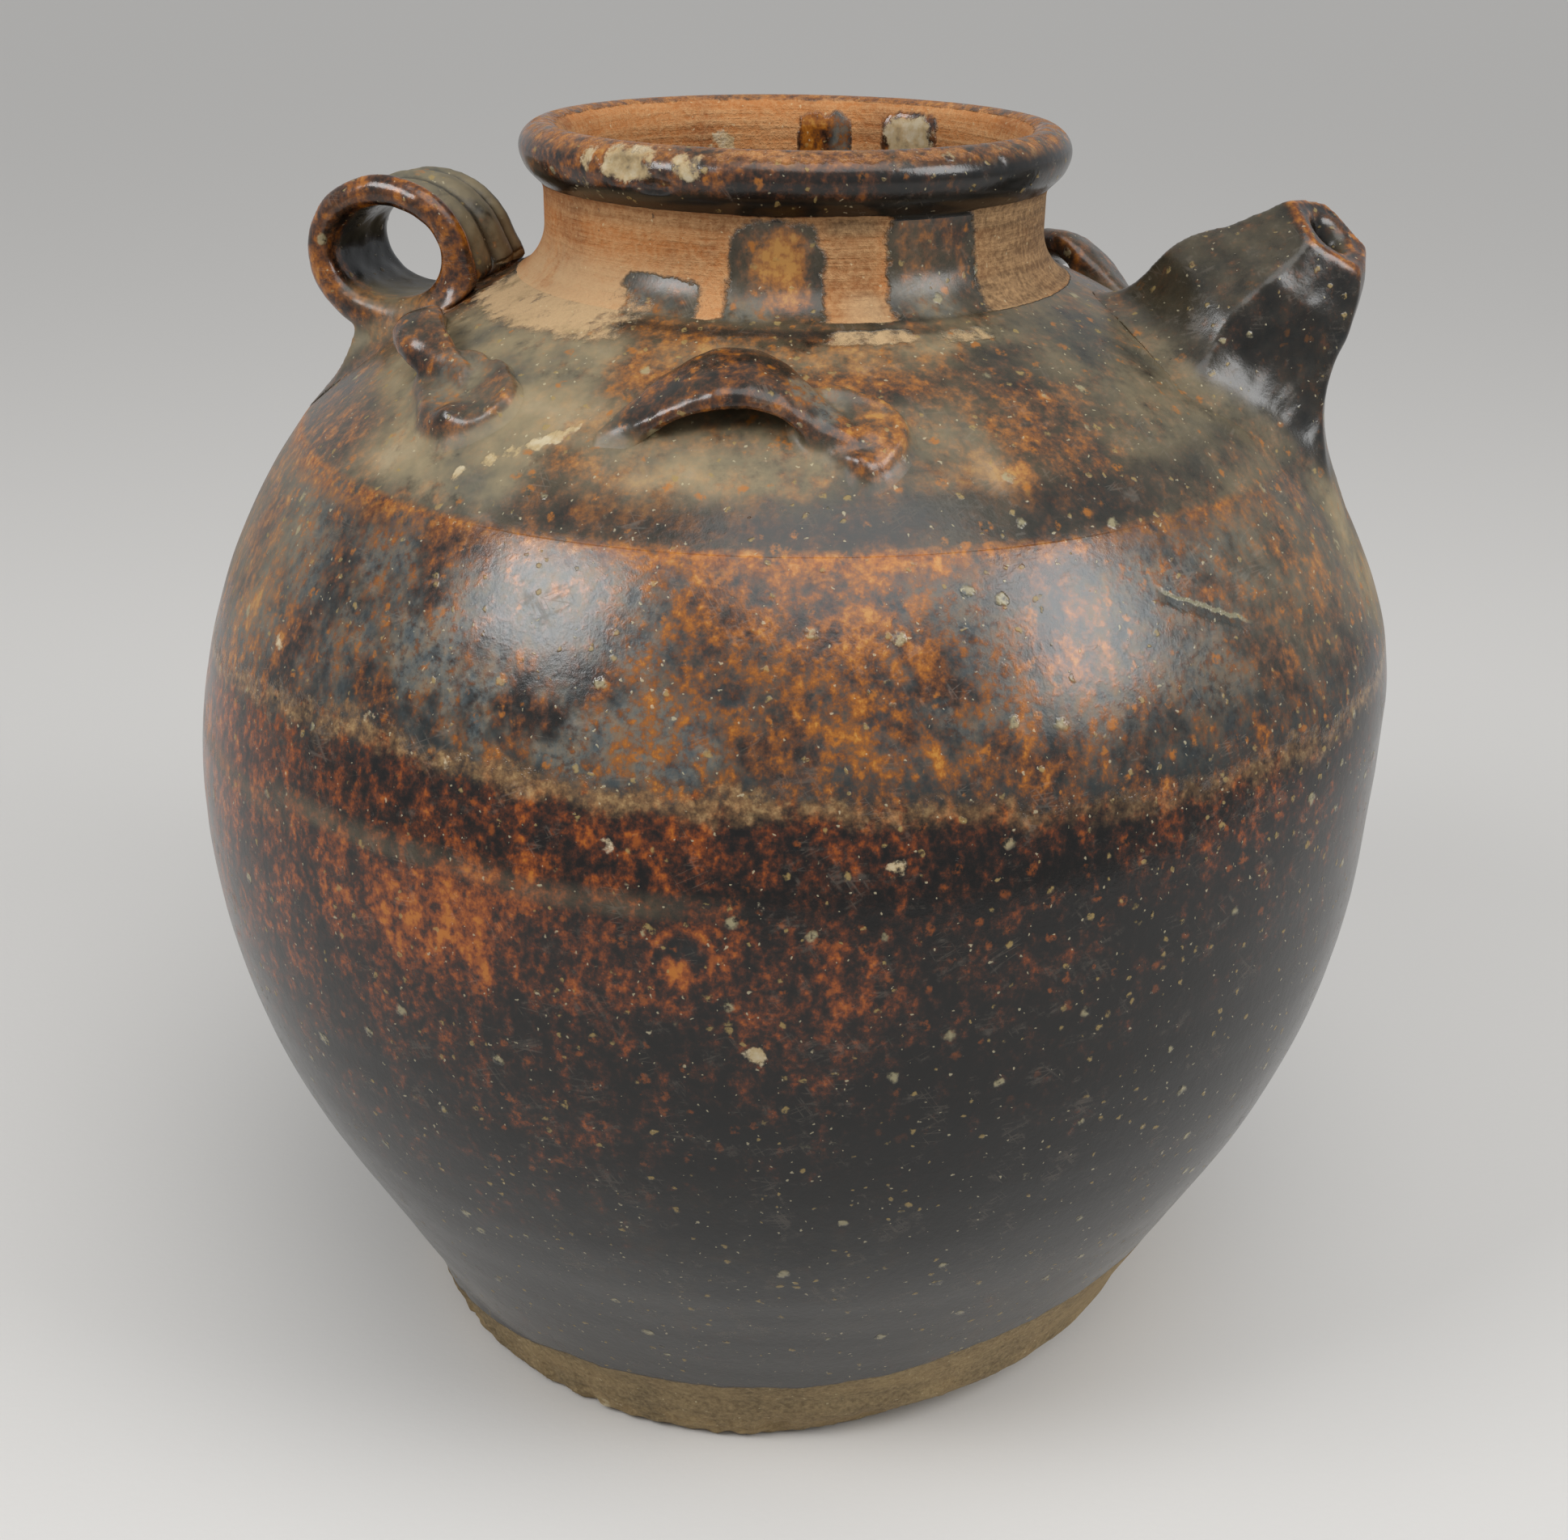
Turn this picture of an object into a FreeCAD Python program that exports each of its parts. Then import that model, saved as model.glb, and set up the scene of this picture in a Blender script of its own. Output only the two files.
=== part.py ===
import FreeCAD, Part
import math
import os
import Sketcher

# A round-bellied stoneware pouring jar: a thrown body in stacked courses, a short neck with a rolled
# rim, a stubby five-sided spout, a ribbed ring handle and four strap lugs for a cord.
# Millimetres. The origin is the middle of the foot's underside, +Z is up and the front faces -Y.

doc = FreeCAD.newDocument("stoneware_jar")
sheet = doc.addObject("Spreadsheet::Sheet", "dims")

# Lengths in millimetres
driving_lengths = {
    # foot slab
    "foot_height": 10.0,
    "foot_radius": 58.5,
    "foot_flare": 2.0,
    "foot_bevel": 1.2,
    # lower bowl: a straight calf, then one round up to the widest line
    "wall": 5.5,
    "heel_wall": 8.0,
    "calf_height": 31.0,
    "calf_inset": 11.0,
    "lower_height": 78.0,
    "belly_swell": 18.0,
    # upper bowl, from the widest line in to the ridge
    "upper_height": 52.0,
    "ridge_radius": 69.5,
    # shoulder, from the ridge up to the neck
    "shoulder_height": 20.0,
    "shoulder_crown": 1.7,
    "shoulder_wall": 5.0,
    # neck collar
    "throat_radius": 31.0,
    "neck_wall": 4.0,
    "neck_spread": 4.0,
    "neck_spread_height": 6.0,
    "neck_spread_hollow": 0.9,
    "neck_height": 11.5,
    # rolled rim
    "rim_height": 8.5,
    "rim_overhang": 3.0,
    "rim_crown": 1.2,
    "rim_lip": 3.5,
    # spout, along its own slanting axis from where that meets the shoulder
    "spout_root": 57.3,
    "spout_length": 22.8,
    "mouth_radius": 7.7,
    "collar_radius": 14.0,
    "collar_drop": 13.0,
    "skirt_radius": 21.0,
    "skirt_depth": 4.0,
    "skirt_offset": 8.0,
    "spout_bore": 5.0,
    # ring handle
    "handle_gap": 3.5,
    "handle_rise": 8.9,
    "handle_hole": 14.6,
    "strap_depth": 4.0,
    "strap_width": 18.0,
    "rib_crown": 0.8,
    "stem_spread": 4.5,
    "stem_depth": 22.0,
    # strap lugs
    "lug_reach": 53.0,
    "lug_length": 37.0,
    "lug_width": 10.0,
    "lug_depth": 3.0,
    "lug_sweep": 2.0,
    "pad_width": 12.0,
    "pad_depth": 2.5,
    "tip_width": 3.5,
    "tip_depth": 0.6,
    "passage_width": 15.0,
    "front_right_passage": 2.6,
    "front_left_passage": 3.2,
    "back_right_passage": 4.0,
    "back_left_passage": 3.2,
    "lug_root": 9.0,
}

# Angles in degrees, and counts. Azimuths run from +X towards +Y.
driving_angles = {
    "spout_azimuth": -10.0,
    "spout_elevation": 48.0,
    "spout_sides": 5,
    "handle_azimuth": 176.4,
    "handle_turn": -16.4,
    "rib_count": 4,
    "lug_slope": 24.0,
    "front_right_azimuth": -95.0,
    "front_right_turn": 0.0,
    "front_left_azimuth": -146.0,
    "front_left_turn": -24.0,
    "back_right_azimuth": 39.0,
    "back_right_turn": 0.0,
    "back_left_azimuth": 91.0,
    "back_left_turn": 0.0,
}

# Shares of the handle's strap radius at which its stem leaves the ring, outwards and inwards
stem_waist_share = 0.62
stem_brace_share = 0.93


class Size:
    """A length with the sheet formula that gives it."""

    def __init__(self, value, text):
        self.value = float(value)
        self.text = text

    def __add__(self, other):
        other = as_size(other)
        return Size(self.value + other.value, f"({self.text} + {other.text})")

    def __sub__(self, other):
        other = as_size(other)
        return Size(self.value - other.value, f"({self.text} - {other.text})")

    def __mul__(self, other):
        other = as_size(other)
        return Size(self.value * other.value, f"({self.text} * {other.text})")

    def __truediv__(self, other):
        other = as_size(other)
        return Size(self.value / other.value, f"({self.text} / {other.text})")

    def __neg__(self):
        return Size(-self.value, f"(0 - {self.text})")

    def squared(self):
        return self * self

    def root(self):
        return Size(math.sqrt(self.value), f"sqrt({self.text})")


def as_size(number):
    return number if isinstance(number, Size) else Size(number, repr(float(number)))


zero = Size(0, "0")
sheet_names = []


def write_cell(name, content):
    sheet_names.append(name)
    row = len(sheet_names)
    sheet.set(f"A{row}", name)
    sheet.set(f"B{row}", content)
    sheet.setAlias(f"B{row}", name)


def driving(name, number):
    write_cell(name, repr(number))
    return Size(number, f"dims.{name}")


def derived(name, size):
    write_cell(name, "=" + size.text.replace("dims.", ""))
    return Size(size.value, f"dims.{name}")


length = {name: driving(name, number) for name, number in driving_lengths.items()}
angle = {name: driving(name, number) for name, number in driving_angles.items()}


def hypotenuse(run, rise):
    return (run.squared() + rise.squared()).root()


def other_leg(slant, leg):
    return (slant.squared() - leg.squared()).root()


def round_radius(rise, inset):
    """Radius of a round that starts upright and moves in by inset over its rise."""
    return (rise.squared() + inset.squared()) / (inset * 2)


def arc_radius(run, rise, crown):
    """Radius of an arc over a chord of this run and rise that stands crown proud of it."""
    return (run.squared() + rise.squared()) / (crown * 8) + crown / 2


# Heights of the seams between courses, from the ground
foot_top = length["foot_height"]
calf_z = derived("calf_z", foot_top + length["calf_height"])
belly_z = derived("belly_z", foot_top + length["lower_height"])
ridge_z = derived("ridge_z", belly_z + length["upper_height"])
neck_z = derived("neck_z", ridge_z + length["shoulder_height"])
rim_z = derived("rim_z", neck_z + length["neck_height"])
top_z = derived("top_z", rim_z + length["rim_height"])

# Radii at those seams
ridge_r = length["ridge_radius"]
throat_r = length["throat_radius"]
belly_r = derived("belly_r", ridge_r + length["belly_swell"])
calf_r = derived("calf_r", belly_r - length["calf_inset"])
foot_top_r = derived("foot_top_r", length["foot_radius"] + length["foot_flare"])
neck_r = derived("neck_r", throat_r + length["neck_wall"])
neck_foot_r = derived("neck_foot_r", neck_r + length["neck_spread"])

# Rounds of the outside; the inside of the wall keeps the same centres
lower_round = derived("lower_round", round_radius(belly_z - calf_z, length["calf_inset"]))
upper_round = derived("upper_round", round_radius(length["upper_height"], length["belly_swell"]))
lower_inner_round = derived("lower_inner_round", lower_round - length["wall"])
upper_inner_round = derived("upper_inner_round", upper_round - length["wall"])
inner_share = derived("inner_share", lower_inner_round / lower_round)
lower_centre_r = derived("lower_centre_r", belly_r - lower_round)
calf_inner_r = derived("calf_inner_r", lower_centre_r + (calf_r - lower_centre_r) * inner_share)
calf_inner_z = derived("calf_inner_z", belly_z - (belly_z - calf_z) * inner_share)
belly_inner_r = derived("belly_inner_r", belly_r - length["wall"])
upper_inner_reach = other_leg(upper_inner_round, length["upper_height"])
ridge_inner_r = derived("ridge_inner_r", belly_r - upper_round + upper_inner_reach)

# The shoulder's dome: its radius, and where the middle of its round lies
shoulder_run = derived("shoulder_run", ridge_r - neck_foot_r)
shoulder_slant = derived("shoulder_slant", hypotenuse(shoulder_run, length["shoulder_height"]))
shoulder_round = derived("shoulder_round", arc_radius(shoulder_run, length["shoulder_height"],
                                                      length["shoulder_crown"]))
shoulder_sink = derived("shoulder_sink", other_leg(shoulder_round, shoulder_slant / 2) / shoulder_slant)
dome_r = derived("dome_r", (ridge_r + neck_foot_r) / 2 - length["shoulder_height"] * shoulder_sink)
dome_z = derived("dome_z", (ridge_z + neck_z) / 2 - shoulder_run * shoulder_sink)


def shoulder_top(reach):
    """Height of the shoulder's surface at this distance from the pot's axis."""
    return dome_z + other_leg(shoulder_round, reach - dome_r)


def new_body(name):
    return doc.addObject("PartDesign::Body", name)


def new_sketch(body, name, role, offset=None):
    """An empty sketch on one of the body's own origin planes, moved off it by offset."""
    plane = [feature for feature in body.Origin.OriginFeatures if feature.Role == role][0]
    sketch = body.newObject("Sketcher::SketchObject", name)
    sketch.AttachmentSupport = [(plane, "")]
    sketch.MapMode = "FlatFace"
    if offset is not None:
        sketch.AttachmentOffset = FreeCAD.Placement(FreeCAD.Vector(0, 0, offset.value), FreeCAD.Rotation())
        sketch.setExpression("AttachmentOffset.Base.z", offset.text)
    return sketch


def bind(sketch, constraint, size):
    index = sketch.addConstraint(constraint)
    sketch.setExpression(f"Constraints[{index}]", size.text)


def place_point(sketch, edge, end, corner):
    """Fix one end of an edge at a corner given by two sizes."""
    for kind, axis, size in (("DistanceX", -2, corner[0]), ("DistanceY", -1, corner[1])):
        if abs(size.value) < 1e-9:
            sketch.addConstraint(Sketcher.Constraint("PointOnObject", edge, end, axis))
        elif size.value > 0:
            bind(sketch, Sketcher.Constraint(kind, -1, 1, edge, end, size.value), size)
        else:
            bind(sketch, Sketcher.Constraint(kind, edge, end, -1, 1, -size.value), -size)


def arc_between(start, end, radius):
    """A short arc; a positive radius has its centre on the left of the way from start to end."""
    chord = end - start
    half = chord.Length / 2
    left = FreeCAD.Vector(-chord.y, chord.x, 0).normalize()
    reach = math.copysign(math.sqrt(max(radius * radius - half * half, 0)), radius)
    centre = (start + end) / 2 + left * reach
    first, last = (start, end) if radius > 0 else (end, start)
    first_angle = math.atan2(first.y - centre.y, first.x - centre.x)
    last_angle = math.atan2(last.y - centre.y, last.x - centre.x)
    circle = Part.Circle(centre, FreeCAD.Vector(0, 0, 1), abs(radius))
    return Part.ArcOfCircle(circle, first_angle, last_angle)


def draw_outline(sketch, corners, arcs=None):
    """A closed outline through the corners; arcs maps an edge's number to its signed radius."""
    arcs = arcs or {}
    ends = []
    for number, start in enumerate(corners):
        end = corners[(number + 1) % len(corners)]
        start_point = FreeCAD.Vector(start[0].value, start[1].value, 0)
        end_point = FreeCAD.Vector(end[0].value, end[1].value, 0)
        if number in arcs:
            radius = arcs[number]
            edge = sketch.addGeometry(arc_between(start_point, end_point, radius.value), False)
            ends.append((edge, 1, 2) if radius.value > 0 else (edge, 2, 1))
            plain = radius if radius.value > 0 else -radius
            bind(sketch, Sketcher.Constraint("Radius", edge, plain.value), plain)
        else:
            edge = sketch.addGeometry(Part.LineSegment(start_point, end_point), False)
            ends.append((edge, 1, 2))
    for number, corner in enumerate(corners):
        edge, first, last = ends[number]
        next_edge, next_first, next_last = ends[(number + 1) % len(ends)]
        sketch.addConstraint(Sketcher.Constraint("Coincident", edge, last, next_edge, next_first))
        place_point(sketch, edge, first, corner)


def revolve(body, sketch, name):
    """Turn the sketch once round its own upright axis."""
    turned = body.newObject("PartDesign::Revolution", name)
    turned.Profile = sketch
    turned.ReferenceAxis = (sketch, ["V_Axis"])
    turned.Angle = 360


def pad(body, sketch, name, thickness):
    """Give the sketch its thickness, half to each side."""
    padded = body.newObject("PartDesign::Pad", name)
    padded.Profile = sketch
    padded.SideType = "Symmetric"
    padded.setExpression("Length", thickness.text)


def thrown(name, corners, arcs=None):
    """A piece turned on the wheel: corners are radius and height, read round the wall's section."""
    body = new_body(name)
    section = new_sketch(body, name + "_section", "XZ_Plane")
    draw_outline(section, corners, arcs)
    revolve(body, section, name + "_turned")
    return body


def set_on_pot(piece, reach, height, azimuth, turn, tilt):
    """Place a piece at a reach from the axis and a height, its own X outwards, then turned and tilted."""
    heading = azimuth + turn
    bearing = math.radians(azimuth.value)
    base = FreeCAD.Vector(reach.value * math.cos(bearing), reach.value * math.sin(bearing), height.value)
    piece.Placement = FreeCAD.Placement(base, FreeCAD.Rotation(heading.value, tilt.value, 0))
    across = f"{reach.text} * cos({azimuth.text} * 1 deg)"
    along = f"{reach.text} * sin({azimuth.text} * 1 deg)"
    place = f"create(<<vector>>; {across}; {along}; {height.text})"
    rotation = f"create(<<rotation>>; {heading.text}; {tilt.text}; 0)"
    piece.setExpression("Placement", f"create(<<placement>>; {place}; {rotation})")


def cut(name, base, tools):
    """A finished piece: the base with each tool taken away."""
    trimmed = base
    for tool in tools:
        result = doc.addObject("Part::Cut", name + "_trimmed")
        result.Base = trimmed
        result.Tool = tool
        trimmed = result
    return trimmed


# Foot slab: a disc that flares a little, its bottom edge worn to a bevel
foot = thrown("foot_slab", [
    (zero, zero), (length["foot_radius"] - length["foot_bevel"], zero),
    (length["foot_radius"], length["foot_bevel"]), (foot_top_r, foot_top), (zero, foot_top)])

# Lower bowl, on the slab
lower_bowl = thrown("lower_course", [
    (foot_top_r, foot_top), (calf_r, calf_z), (belly_r, belly_z), (belly_inner_r, belly_z),
    (calf_inner_r, calf_inner_z), (foot_top_r - length["heel_wall"], foot_top)],
    {1: lower_round, 3: -lower_inner_round})

# Upper bowl, luted to the lower one at the widest line
upper_bowl = thrown("upper_course", [
    (belly_r, belly_z), (ridge_r, ridge_z), (ridge_inner_r, ridge_z), (belly_inner_r, belly_z)],
    {0: upper_round, 2: -upper_inner_round})

# Shoulder, a low dome from the ridge to the neck
shoulder_dome = thrown("shoulder_dome", [
    (ridge_r, ridge_z), (neck_foot_r, neck_z), (throat_r, neck_z),
    (throat_r, neck_z - length["shoulder_wall"]), (ridge_inner_r, ridge_z)],
    {0: shoulder_round, 3: -shoulder_round})

# Neck collar, spreading where it meets the shoulder
spread_round = arc_radius(length["neck_spread"], length["neck_spread_height"], length["neck_spread_hollow"])
neck = thrown("neck_collar", [
    (neck_foot_r, neck_z), (neck_r, neck_z + length["neck_spread_height"]), (neck_r, rim_z),
    (throat_r, rim_z), (throat_r, neck_z)],
    {0: -spread_round})

# Rolled rim: overhangs the neck, rounded below and above, its lip sloping into the throat
rim_half = derived("rim_half", length["rim_height"] / 2)
rim_r = derived("rim_r", neck_r + length["rim_overhang"])
rim_crest_r = derived("rim_crest_r", rim_r - rim_half)
under_round = arc_radius(length["rim_overhang"], rim_half, length["rim_crown"])
over_round = arc_radius(rim_half, rim_half, length["rim_crown"])
lip_round = arc_radius(rim_crest_r - throat_r, length["rim_lip"], length["rim_crown"] / 2)
rim = thrown("rim_roll", [
    (neck_r, rim_z), (rim_r, rim_z + rim_half), (rim_crest_r, top_z),
    (throat_r, top_z - length["rim_lip"]), (throat_r, rim_z)],
    {0: under_round, 1: over_round, 2: lip_round})

# The pot's outside as one filled solid, which trims everything that is luted onto it
outside = thrown("outside", [
    (zero, belly_z), (belly_r, belly_z), (ridge_r, ridge_z), (neck_foot_r, neck_z), (zero, neck_z)],
    {1: upper_round, 2: shoulder_round})

# Spout: its own +Z runs up its axis and out of the mouth, its own +X faces outwards and down
spout_seat = derived("spout_seat", shoulder_top(length["spout_root"]))
spout_tilt = derived("spout_tilt", as_size(90) - angle["spout_elevation"])


def set_along_spout(piece):
    set_on_pot(piece, length["spout_root"], spout_seat, angle["spout_azimuth"], zero, spout_tilt)


def faceted_section(body, name, level, radius, offset):
    """An even-sided outline with a corner on the spout's upper side, at a level above its root."""
    sketch = new_sketch(body, name, "XY_Plane", level)
    sides = int(angle["spout_sides"].value)
    bearings = [math.pi + 2 * math.pi * number / sides for number in range(sides)]
    draw_outline(sketch, [(radius * math.cos(bearing) + offset, radius * math.sin(bearing))
                          for bearing in bearings])
    return sketch


spout_blank = new_body("spout_blank")
mouth = faceted_section(spout_blank, "spout_mouth", length["spout_length"], length["mouth_radius"], zero)
collar = faceted_section(spout_blank, "spout_collar", length["spout_length"] - length["collar_drop"],
                         length["collar_radius"], zero)
skirt = faceted_section(spout_blank, "spout_skirt", -length["skirt_depth"], length["skirt_radius"],
                        length["skirt_offset"])
facets = spout_blank.newObject("PartDesign::AdditiveLoft", "spout_facets")
facets.Profile = mouth
facets.Sections = [collar, skirt]
facets.Ruled = True
set_along_spout(spout_blank)

# The pouring bore, through the spout and the shoulder behind it
bore = new_body("pouring_bore")
bore_section = new_sketch(bore, "bore_section", "XY_Plane")
bore_width = length["spout_bore"]
bore_circle = Part.Circle(FreeCAD.Vector(), FreeCAD.Vector(0, 0, 1), bore_width.value / 2)
bore_edge = bore_section.addGeometry(bore_circle, False)
bore_section.addConstraint(Sketcher.Constraint("Coincident", bore_edge, 3, -1, 1))
bind(bore_section, Sketcher.Constraint("Diameter", bore_edge, bore_width.value), bore_width)
pad(bore, bore_section, "bore_length", length["spout_length"] * 3)
set_along_spout(bore)

spout = cut("spout", spout_blank, [outside, bore])
shoulder = cut("shoulder", shoulder_dome, [bore])

# Ring handle: a ribbed strap bent into a ring on a short stem; its own Y runs through the ring
hole_r = derived("hole_r", length["handle_hole"] / 2)
strap_mid_r = derived("strap_mid_r", hole_r + length["strap_depth"] / 2)
ring_r = derived("ring_r", hole_r + length["strap_depth"])
rib_count = int(angle["rib_count"].value)
rib_width = length["strap_width"] / angle["rib_count"]
rib_round = arc_radius(rib_width, zero, length["rib_crown"])

handle_blank = new_body("handle_blank")
strap_edge = length["strap_width"] / 2
ribs = [(ring_r, rib_width * number - strap_edge) for number in range(rib_count + 1)]
strap = new_sketch(handle_blank, "strap_section", "XY_Plane")
draw_outline(strap, [(hole_r, -strap_edge)] + ribs + [(hole_r, strap_edge)],
             {number + 1: rib_round for number in range(rib_count)})
revolve(handle_blank, strap, "strap_ring")

waist = derived("waist", strap_mid_r * stem_waist_share)
brace = derived("brace", strap_mid_r * stem_brace_share)
stem = new_sketch(handle_blank, "stem_section", "XZ_Plane")
stem_spread = length["stem_spread"]
draw_outline(stem, [
    (-brace - stem_spread, -length["stem_depth"]), (waist + stem_spread, -length["stem_depth"]),
    (waist, -other_leg(ring_r, waist)), (waist, -other_leg(strap_mid_r, waist)),
    (-brace, -other_leg(strap_mid_r, brace))],
    {3: -strap_mid_r})
pad(handle_blank, stem, "stem_block", length["strap_width"])
# The ring clears the rim by its gap
handle_reach = derived("handle_reach", rim_r + length["handle_gap"] + length["rib_crown"] + ring_r)
handle_seat = derived("handle_seat", shoulder_top(handle_reach) + length["handle_rise"])
set_on_pot(handle_blank, handle_reach, handle_seat, angle["handle_azimuth"],
           angle["handle_turn"], zero)
handle = cut("handle", handle_blank, [outside])

# Strap lugs: an arch over a cord passage, tapered at one end and pressed to a pad at the other.
# Their own X faces outwards, Y runs along the strap to the pad, and both ends sweep outwards.
lug_end = derived("lug_end", length["lug_length"] / 2)
lug_side = derived("lug_side", length["lug_width"] / 2)
pad_side = derived("pad_side", length["pad_width"] / 2)
tip_side = derived("tip_side", length["tip_width"] / 2)
pad_start = derived("pad_start", lug_end - pad_side)
passage_side = derived("passage_side", length["passage_width"] / 2)
arch_side = derived("arch_side", passage_side + length["lug_depth"] / 2)

# Heights over the lug's seat; the shoulder falls away under both ends
lug_seat = derived("lug_seat", shoulder_top(length["lug_reach"]))
end_fall = derived("end_fall", lug_seat - shoulder_top(hypotenuse(length["lug_reach"], lug_end)))
tip_top = derived("tip_top", length["tip_depth"] - end_fall)
pad_top = derived("pad_top", length["pad_depth"] - end_fall)
arch_foot = derived("arch_foot", length["pad_depth"] - end_fall / 2)


def strap_lug(name, azimuth, turn, passage_height):
    passage_round = arc_radius(length["passage_width"], zero, passage_height)
    arch_round = arc_radius(arch_side * 2, zero, passage_height + length["lug_depth"] - arch_foot)
    arch = new_body(name + "_arch")
    elevation = new_sketch(arch, name + "_elevation", "YZ_Plane")
    draw_outline(elevation, [
        (-lug_end, -length["lug_root"]), (-passage_side, -length["lug_root"]), (-passage_side, zero),
        (passage_side, zero), (passage_side, -length["lug_root"]), (lug_end, -length["lug_root"]),
        (lug_end, pad_top), (arch_side, arch_foot), (-arch_side, arch_foot), (-lug_end, tip_top)],
        {2: -passage_round, 7: arch_round})
    pad(arch, elevation, name + "_depth", (length["pad_width"] + length["lug_sweep"]) * 2)
    plan = new_body(name + "_plan")
    outline = new_sketch(plan, name + "_outline", "XY_Plane")
    draw_outline(outline, [
        (length["lug_sweep"] + tip_side, -lug_end), (lug_side, -passage_side), (lug_side, passage_side),
        (length["lug_sweep"] + pad_side, pad_start), (length["lug_sweep"], lug_end),
        (length["lug_sweep"] - pad_side, pad_start), (-lug_side, passage_side),
        (-lug_side, -passage_side), (length["lug_sweep"] - tip_side, -lug_end)],
        {3: pad_side, 4: pad_side})
    pad(plan, outline, name + "_height", length["lug_root"] * 2)
    for half in (arch, plan):
        set_on_pot(half, length["lug_reach"], lug_seat, azimuth, turn, angle["lug_slope"])
    strap = doc.addObject("Part::Common", name + "_strap")
    strap.Base = arch
    strap.Tool = plan
    return cut(name, strap, [outside])


pieces = {
    "foot": foot,
    "lower_bowl": lower_bowl,
    "upper_bowl": upper_bowl,
    "shoulder": shoulder,
    "neck": neck,
    "rim": rim,
    "spout": spout,
    "handle": handle,
}
for corner in ("front_right", "front_left", "back_right", "back_left"):
    name = "lug_" + corner
    pieces[name] = strap_lug(name, angle[corner + "_azimuth"], angle[corner + "_turn"],
                             length[corner + "_passage"])

for name, piece in pieces.items():
    piece.Label = name

doc.recompute()

for item in doc.Objects:
    if "Invalid" in item.State or "Error" in item.State:
        raise RuntimeError(f"{item.Name} failed to build")
for name, piece in pieces.items():
    if piece.Shape.isNull() or not piece.Shape.isValid():
        raise RuntimeError(f"{name} has no valid shape")

os.makedirs("parts", exist_ok=True)
for name, piece in pieces.items():
    piece.Shape.exportStep(f"parts/{name}.step")
    size = piece.Shape.BoundBox
    print(f"{name}: {len(piece.Shape.Solids)} solid, {piece.Shape.Volume:.0f} mm3,"
          f" {size.XLength:.1f} x {size.YLength:.1f} x {size.ZLength:.1f} mm")
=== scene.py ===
import math

import bmesh
import bpy
import numpy as np
from mathutils import Matrix, Vector
from mathutils.bvhtree import BVHTree


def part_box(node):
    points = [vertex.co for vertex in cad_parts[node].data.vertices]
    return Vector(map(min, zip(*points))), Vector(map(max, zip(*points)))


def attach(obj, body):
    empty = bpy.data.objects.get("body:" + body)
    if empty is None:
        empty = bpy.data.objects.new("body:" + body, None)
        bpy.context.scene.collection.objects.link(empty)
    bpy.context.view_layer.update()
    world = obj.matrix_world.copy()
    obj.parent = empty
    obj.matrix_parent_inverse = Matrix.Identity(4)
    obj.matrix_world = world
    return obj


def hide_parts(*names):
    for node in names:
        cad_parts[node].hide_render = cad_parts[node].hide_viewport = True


# A stoneware pouring jar: six courses thrown on the wheel, a spout, a ring handle and four
# strap lugs, under a dark iron glaze that stops short of the foot. Sizes below are millimetres.

mm = 0.001
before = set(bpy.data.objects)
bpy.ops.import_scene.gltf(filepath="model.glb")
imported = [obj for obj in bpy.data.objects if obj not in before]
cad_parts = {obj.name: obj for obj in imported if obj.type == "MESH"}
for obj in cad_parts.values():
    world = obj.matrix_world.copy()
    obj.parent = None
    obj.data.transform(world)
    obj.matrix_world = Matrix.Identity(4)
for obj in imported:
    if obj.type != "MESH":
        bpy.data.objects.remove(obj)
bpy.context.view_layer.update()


# The photograph looks down on the jar from the front with a moderately long lens.
camera = {
    "lens": 45.62,
    "place": (-0.36, -283.2, 209.7),
    "lookDown": 24.14,
    "roll": 0.75,
}


def placeCamera():
    data = bpy.data.cameras.new("jarCamera")
    data.lens = camera["lens"]
    data.sensor_width = 36
    data.clip_start = 0.01
    data.clip_end = 50
    seen = bpy.data.objects.new("jarCamera", data)
    bpy.context.scene.collection.objects.link(seen)
    down = math.radians(camera["lookDown"])
    roll = math.radians(camera["roll"])
    right = Vector((1, 0, 0))
    up = Vector((0, math.sin(down), math.cos(down)))
    back = Vector((0, -math.cos(down), math.sin(down)))
    cos, sin = math.cos(roll), math.sin(roll)
    matrix = Matrix((cos * right + sin * up, cos * up - sin * right, back)).transposed().to_4x4()
    matrix.translation = Vector(camera["place"]) * mm
    seen.matrix_world = matrix
    bpy.context.scene.camera = seen


placeCamera()
print("camera placed")


def top(node):
    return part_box(node)[1] / mm


# Heights and radii where the courses meet come from the frame; the rest is read off the photograph.
jar = {
    "footTop": top("foot").z,
    "footTopRadius": top("foot").x,
    "footRadius": 58.5,
    "footBevel": 1.2,
    "calfRadius": 76.5,
    "calf": 41.0,
    "belly": top("lower_bowl").z,
    "bellyRadius": top("lower_bowl").x,
    "ridge": top("upper_bowl").z,
    "ridgeRadius": top("shoulder").x,
    "shoulderTop": top("shoulder").z,
    "neckFootRadius": top("neck").x,
    "neckRadius": 35.0,
    "throatRadius": 31.0,
    "rimFoot": top("neck").z,
    "rimRadius": top("rim").x,
    "rimTop": top("rim").z,
    "wall": 5.5,
    "floorRadius": 52.5,
}


def roundRadius(rise, inset):
    return (rise * rise + inset * inset) / (2 * inset)


def bulgeRadius(start, end, bulge):
    chord = math.dist(start, end)
    return chord * chord / (8 * bulge) + bulge / 2


fineStep = 0.2


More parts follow.
